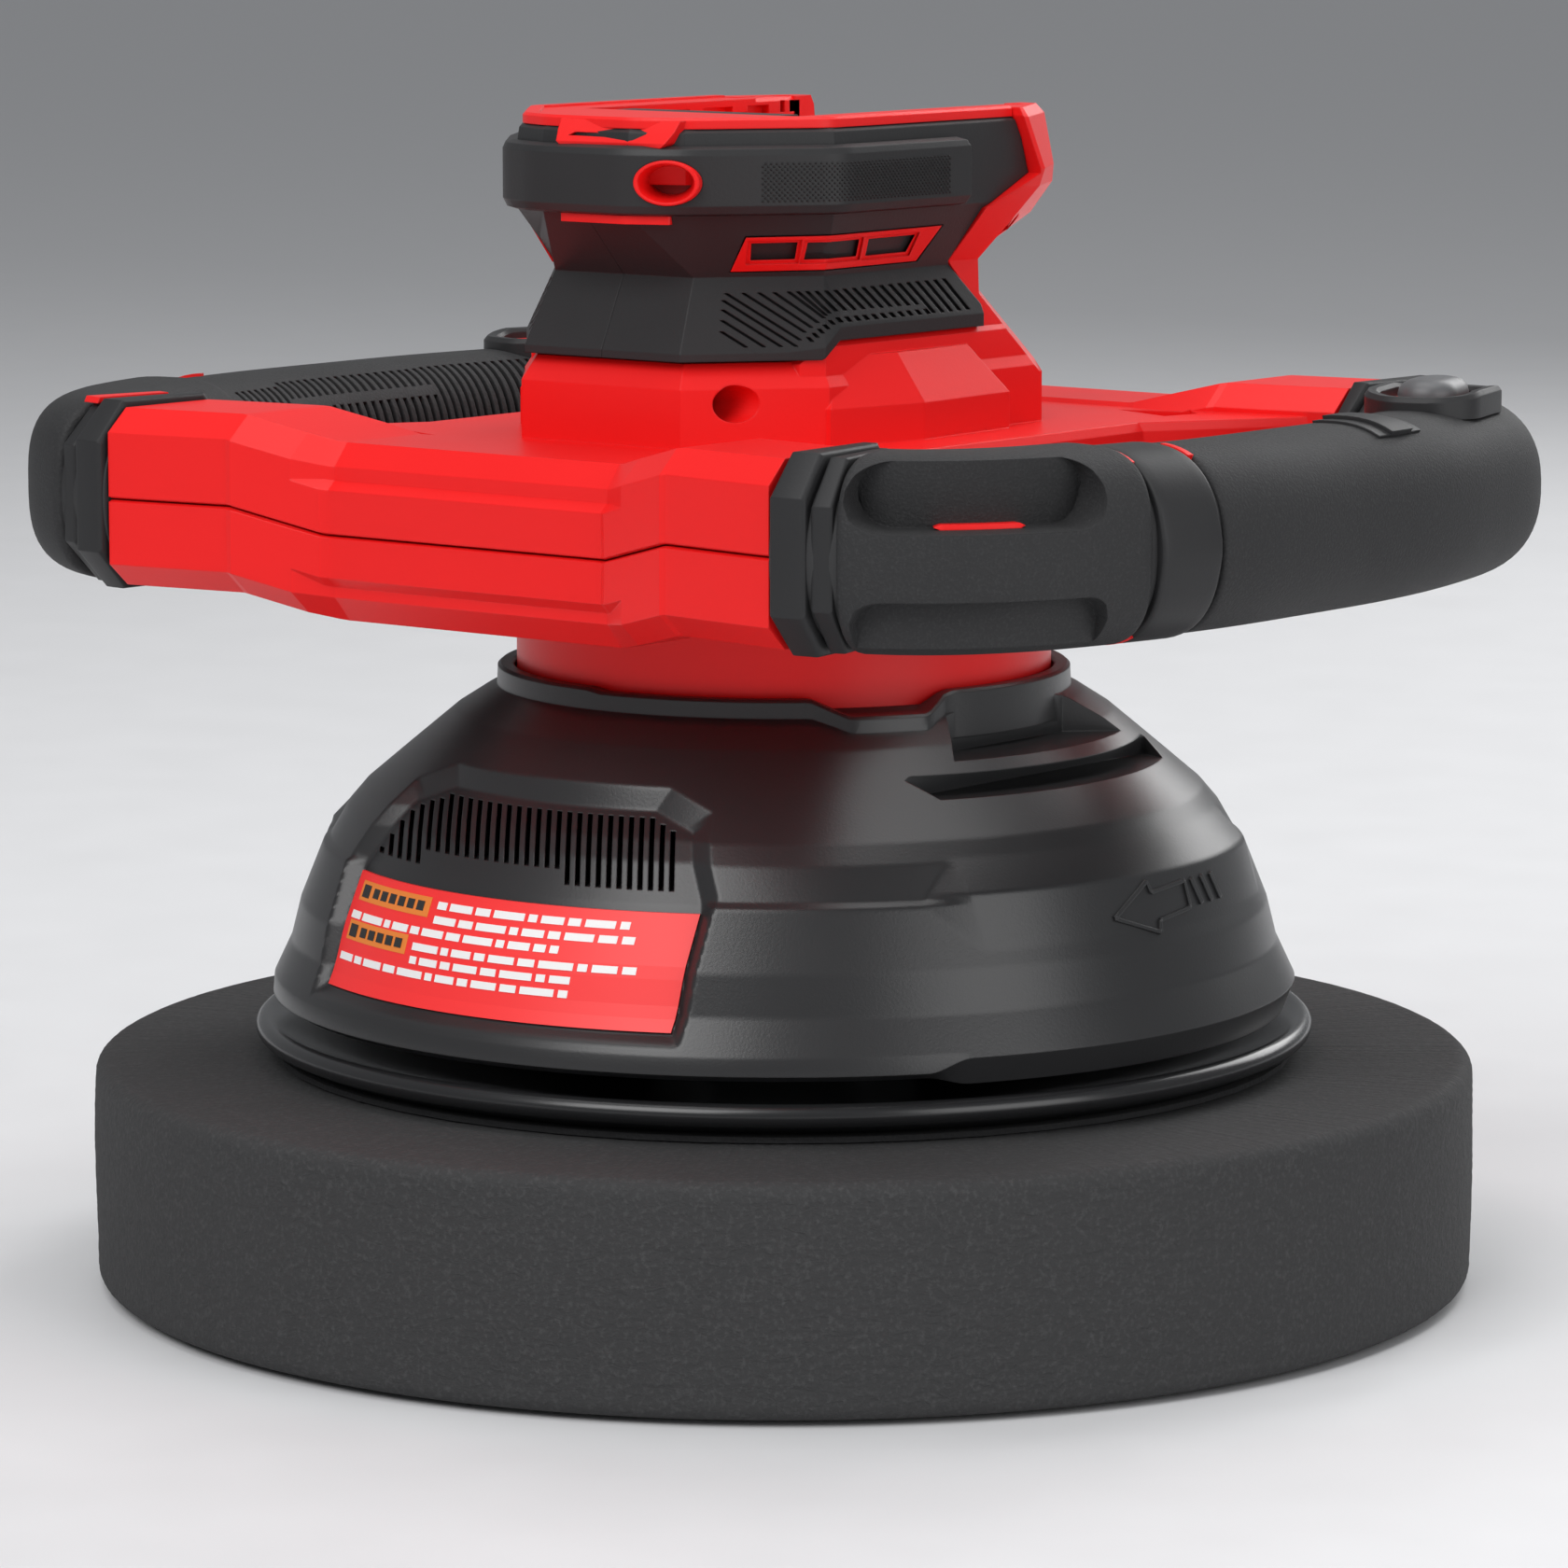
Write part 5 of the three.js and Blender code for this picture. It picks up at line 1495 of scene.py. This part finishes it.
for node_name, node_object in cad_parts.items():
    node_object.data.materials.clear()
    node_object.data.materials.append(CAD_FINISH[node_name])


# ------------------------------------------------------------------ floor, light and camera
def floor():
    """Pale floor under the pad."""
    plane = build("floor", box(-12000, 12000, -12000, 12000, -12, -1))
    paint = finish("floor_paint", (0.72, 0.72, 0.73), 0.55, mottle=0.02, edge=0)
    plane.data.materials.append(paint)


def area_light(name, place, target, size, power):
    """A soft square light at a place, turned to a target."""
    data = bpy.data.lights.new(name, "AREA")
    data.size = size
    data.energy = power
    lamp = bpy.data.objects.new(name, data)
    lamp.location = place
    lamp.rotation_mode = "QUATERNION"
    lamp.rotation_quaternion = (Vector(target) - Vector(place)).to_track_quat("-Z", "Y")
    bpy.context.scene.collection.objects.link(lamp)


CAMERA_TURN = math.radians(38.4)
CAMERA_RISE = math.radians(8.355)
CAMERA_AWAY = 1.25
CAMERA_AIM = Vector((0, 0, 0.0904))


def camera_and_light():
    """Camera at the front right, four soft lights around it and a pale world."""
    back = Vector((math.sin(CAMERA_TURN) * math.cos(CAMERA_RISE),
                   -math.cos(CAMERA_TURN) * math.cos(CAMERA_RISE), math.sin(CAMERA_RISE)))
    data = bpy.data.cameras.new("camera")
    data.lens = 155.9
    data.sensor_width = 36
    data.clip_start = 0.01
    camera = bpy.data.objects.new("camera", data)
    camera.location = CAMERA_AIM + back * CAMERA_AWAY
    camera.rotation_mode = "QUATERNION"
    camera.rotation_quaternion = (-back).to_track_quat("-Z", "Y")
    bpy.context.scene.collection.objects.link(camera)
    bpy.context.scene.camera = camera
    across = Vector((math.cos(CAMERA_TURN), math.sin(CAMERA_TURN), 0))
    front = Vector((math.sin(CAMERA_TURN), -math.cos(CAMERA_TURN), 0))
    aim = Vector((0, 0, 0.12))
    area_light("key", front * 1.3 - across * 0.9 + Vector((0, 0, 1.5)), aim, 1.3, 27)
    area_light("fill", front * 1.2 + across * 1.3 + Vector((0, 0, 0.6)), aim, 1.2, 11)
    area_light("top", Vector((0, 0.1, 1.7)), aim, 1.4, 14)
    area_light("rear", -front * 1.2 + across * 0.9 + Vector((0, 0, 0.9)), aim, 0.9, 10)
    world = bpy.data.worlds.new("studio")
    world.use_nodes = True
    nodes, links = world.node_tree.nodes, world.node_tree.links
    nodes["Background"].inputs["Color"].default_value = (0.8, 0.82, 0.85, 1)
    rays = nodes.new("ShaderNodeLightPath")
    strength = nodes.new("ShaderNodeMapRange")
    strength.inputs["To Min"].default_value = 0.34
    strength.inputs["To Max"].default_value = 0.8
    links.new(rays.outputs["Is Camera Ray"], strength.inputs["Value"])
    links.new(strength.outputs["Result"], nodes["Background"].inputs["Strength"])
    bpy.context.scene.world = world
    bpy.context.scene.view_settings.view_transform = "Standard"


floor()
camera_and_light()
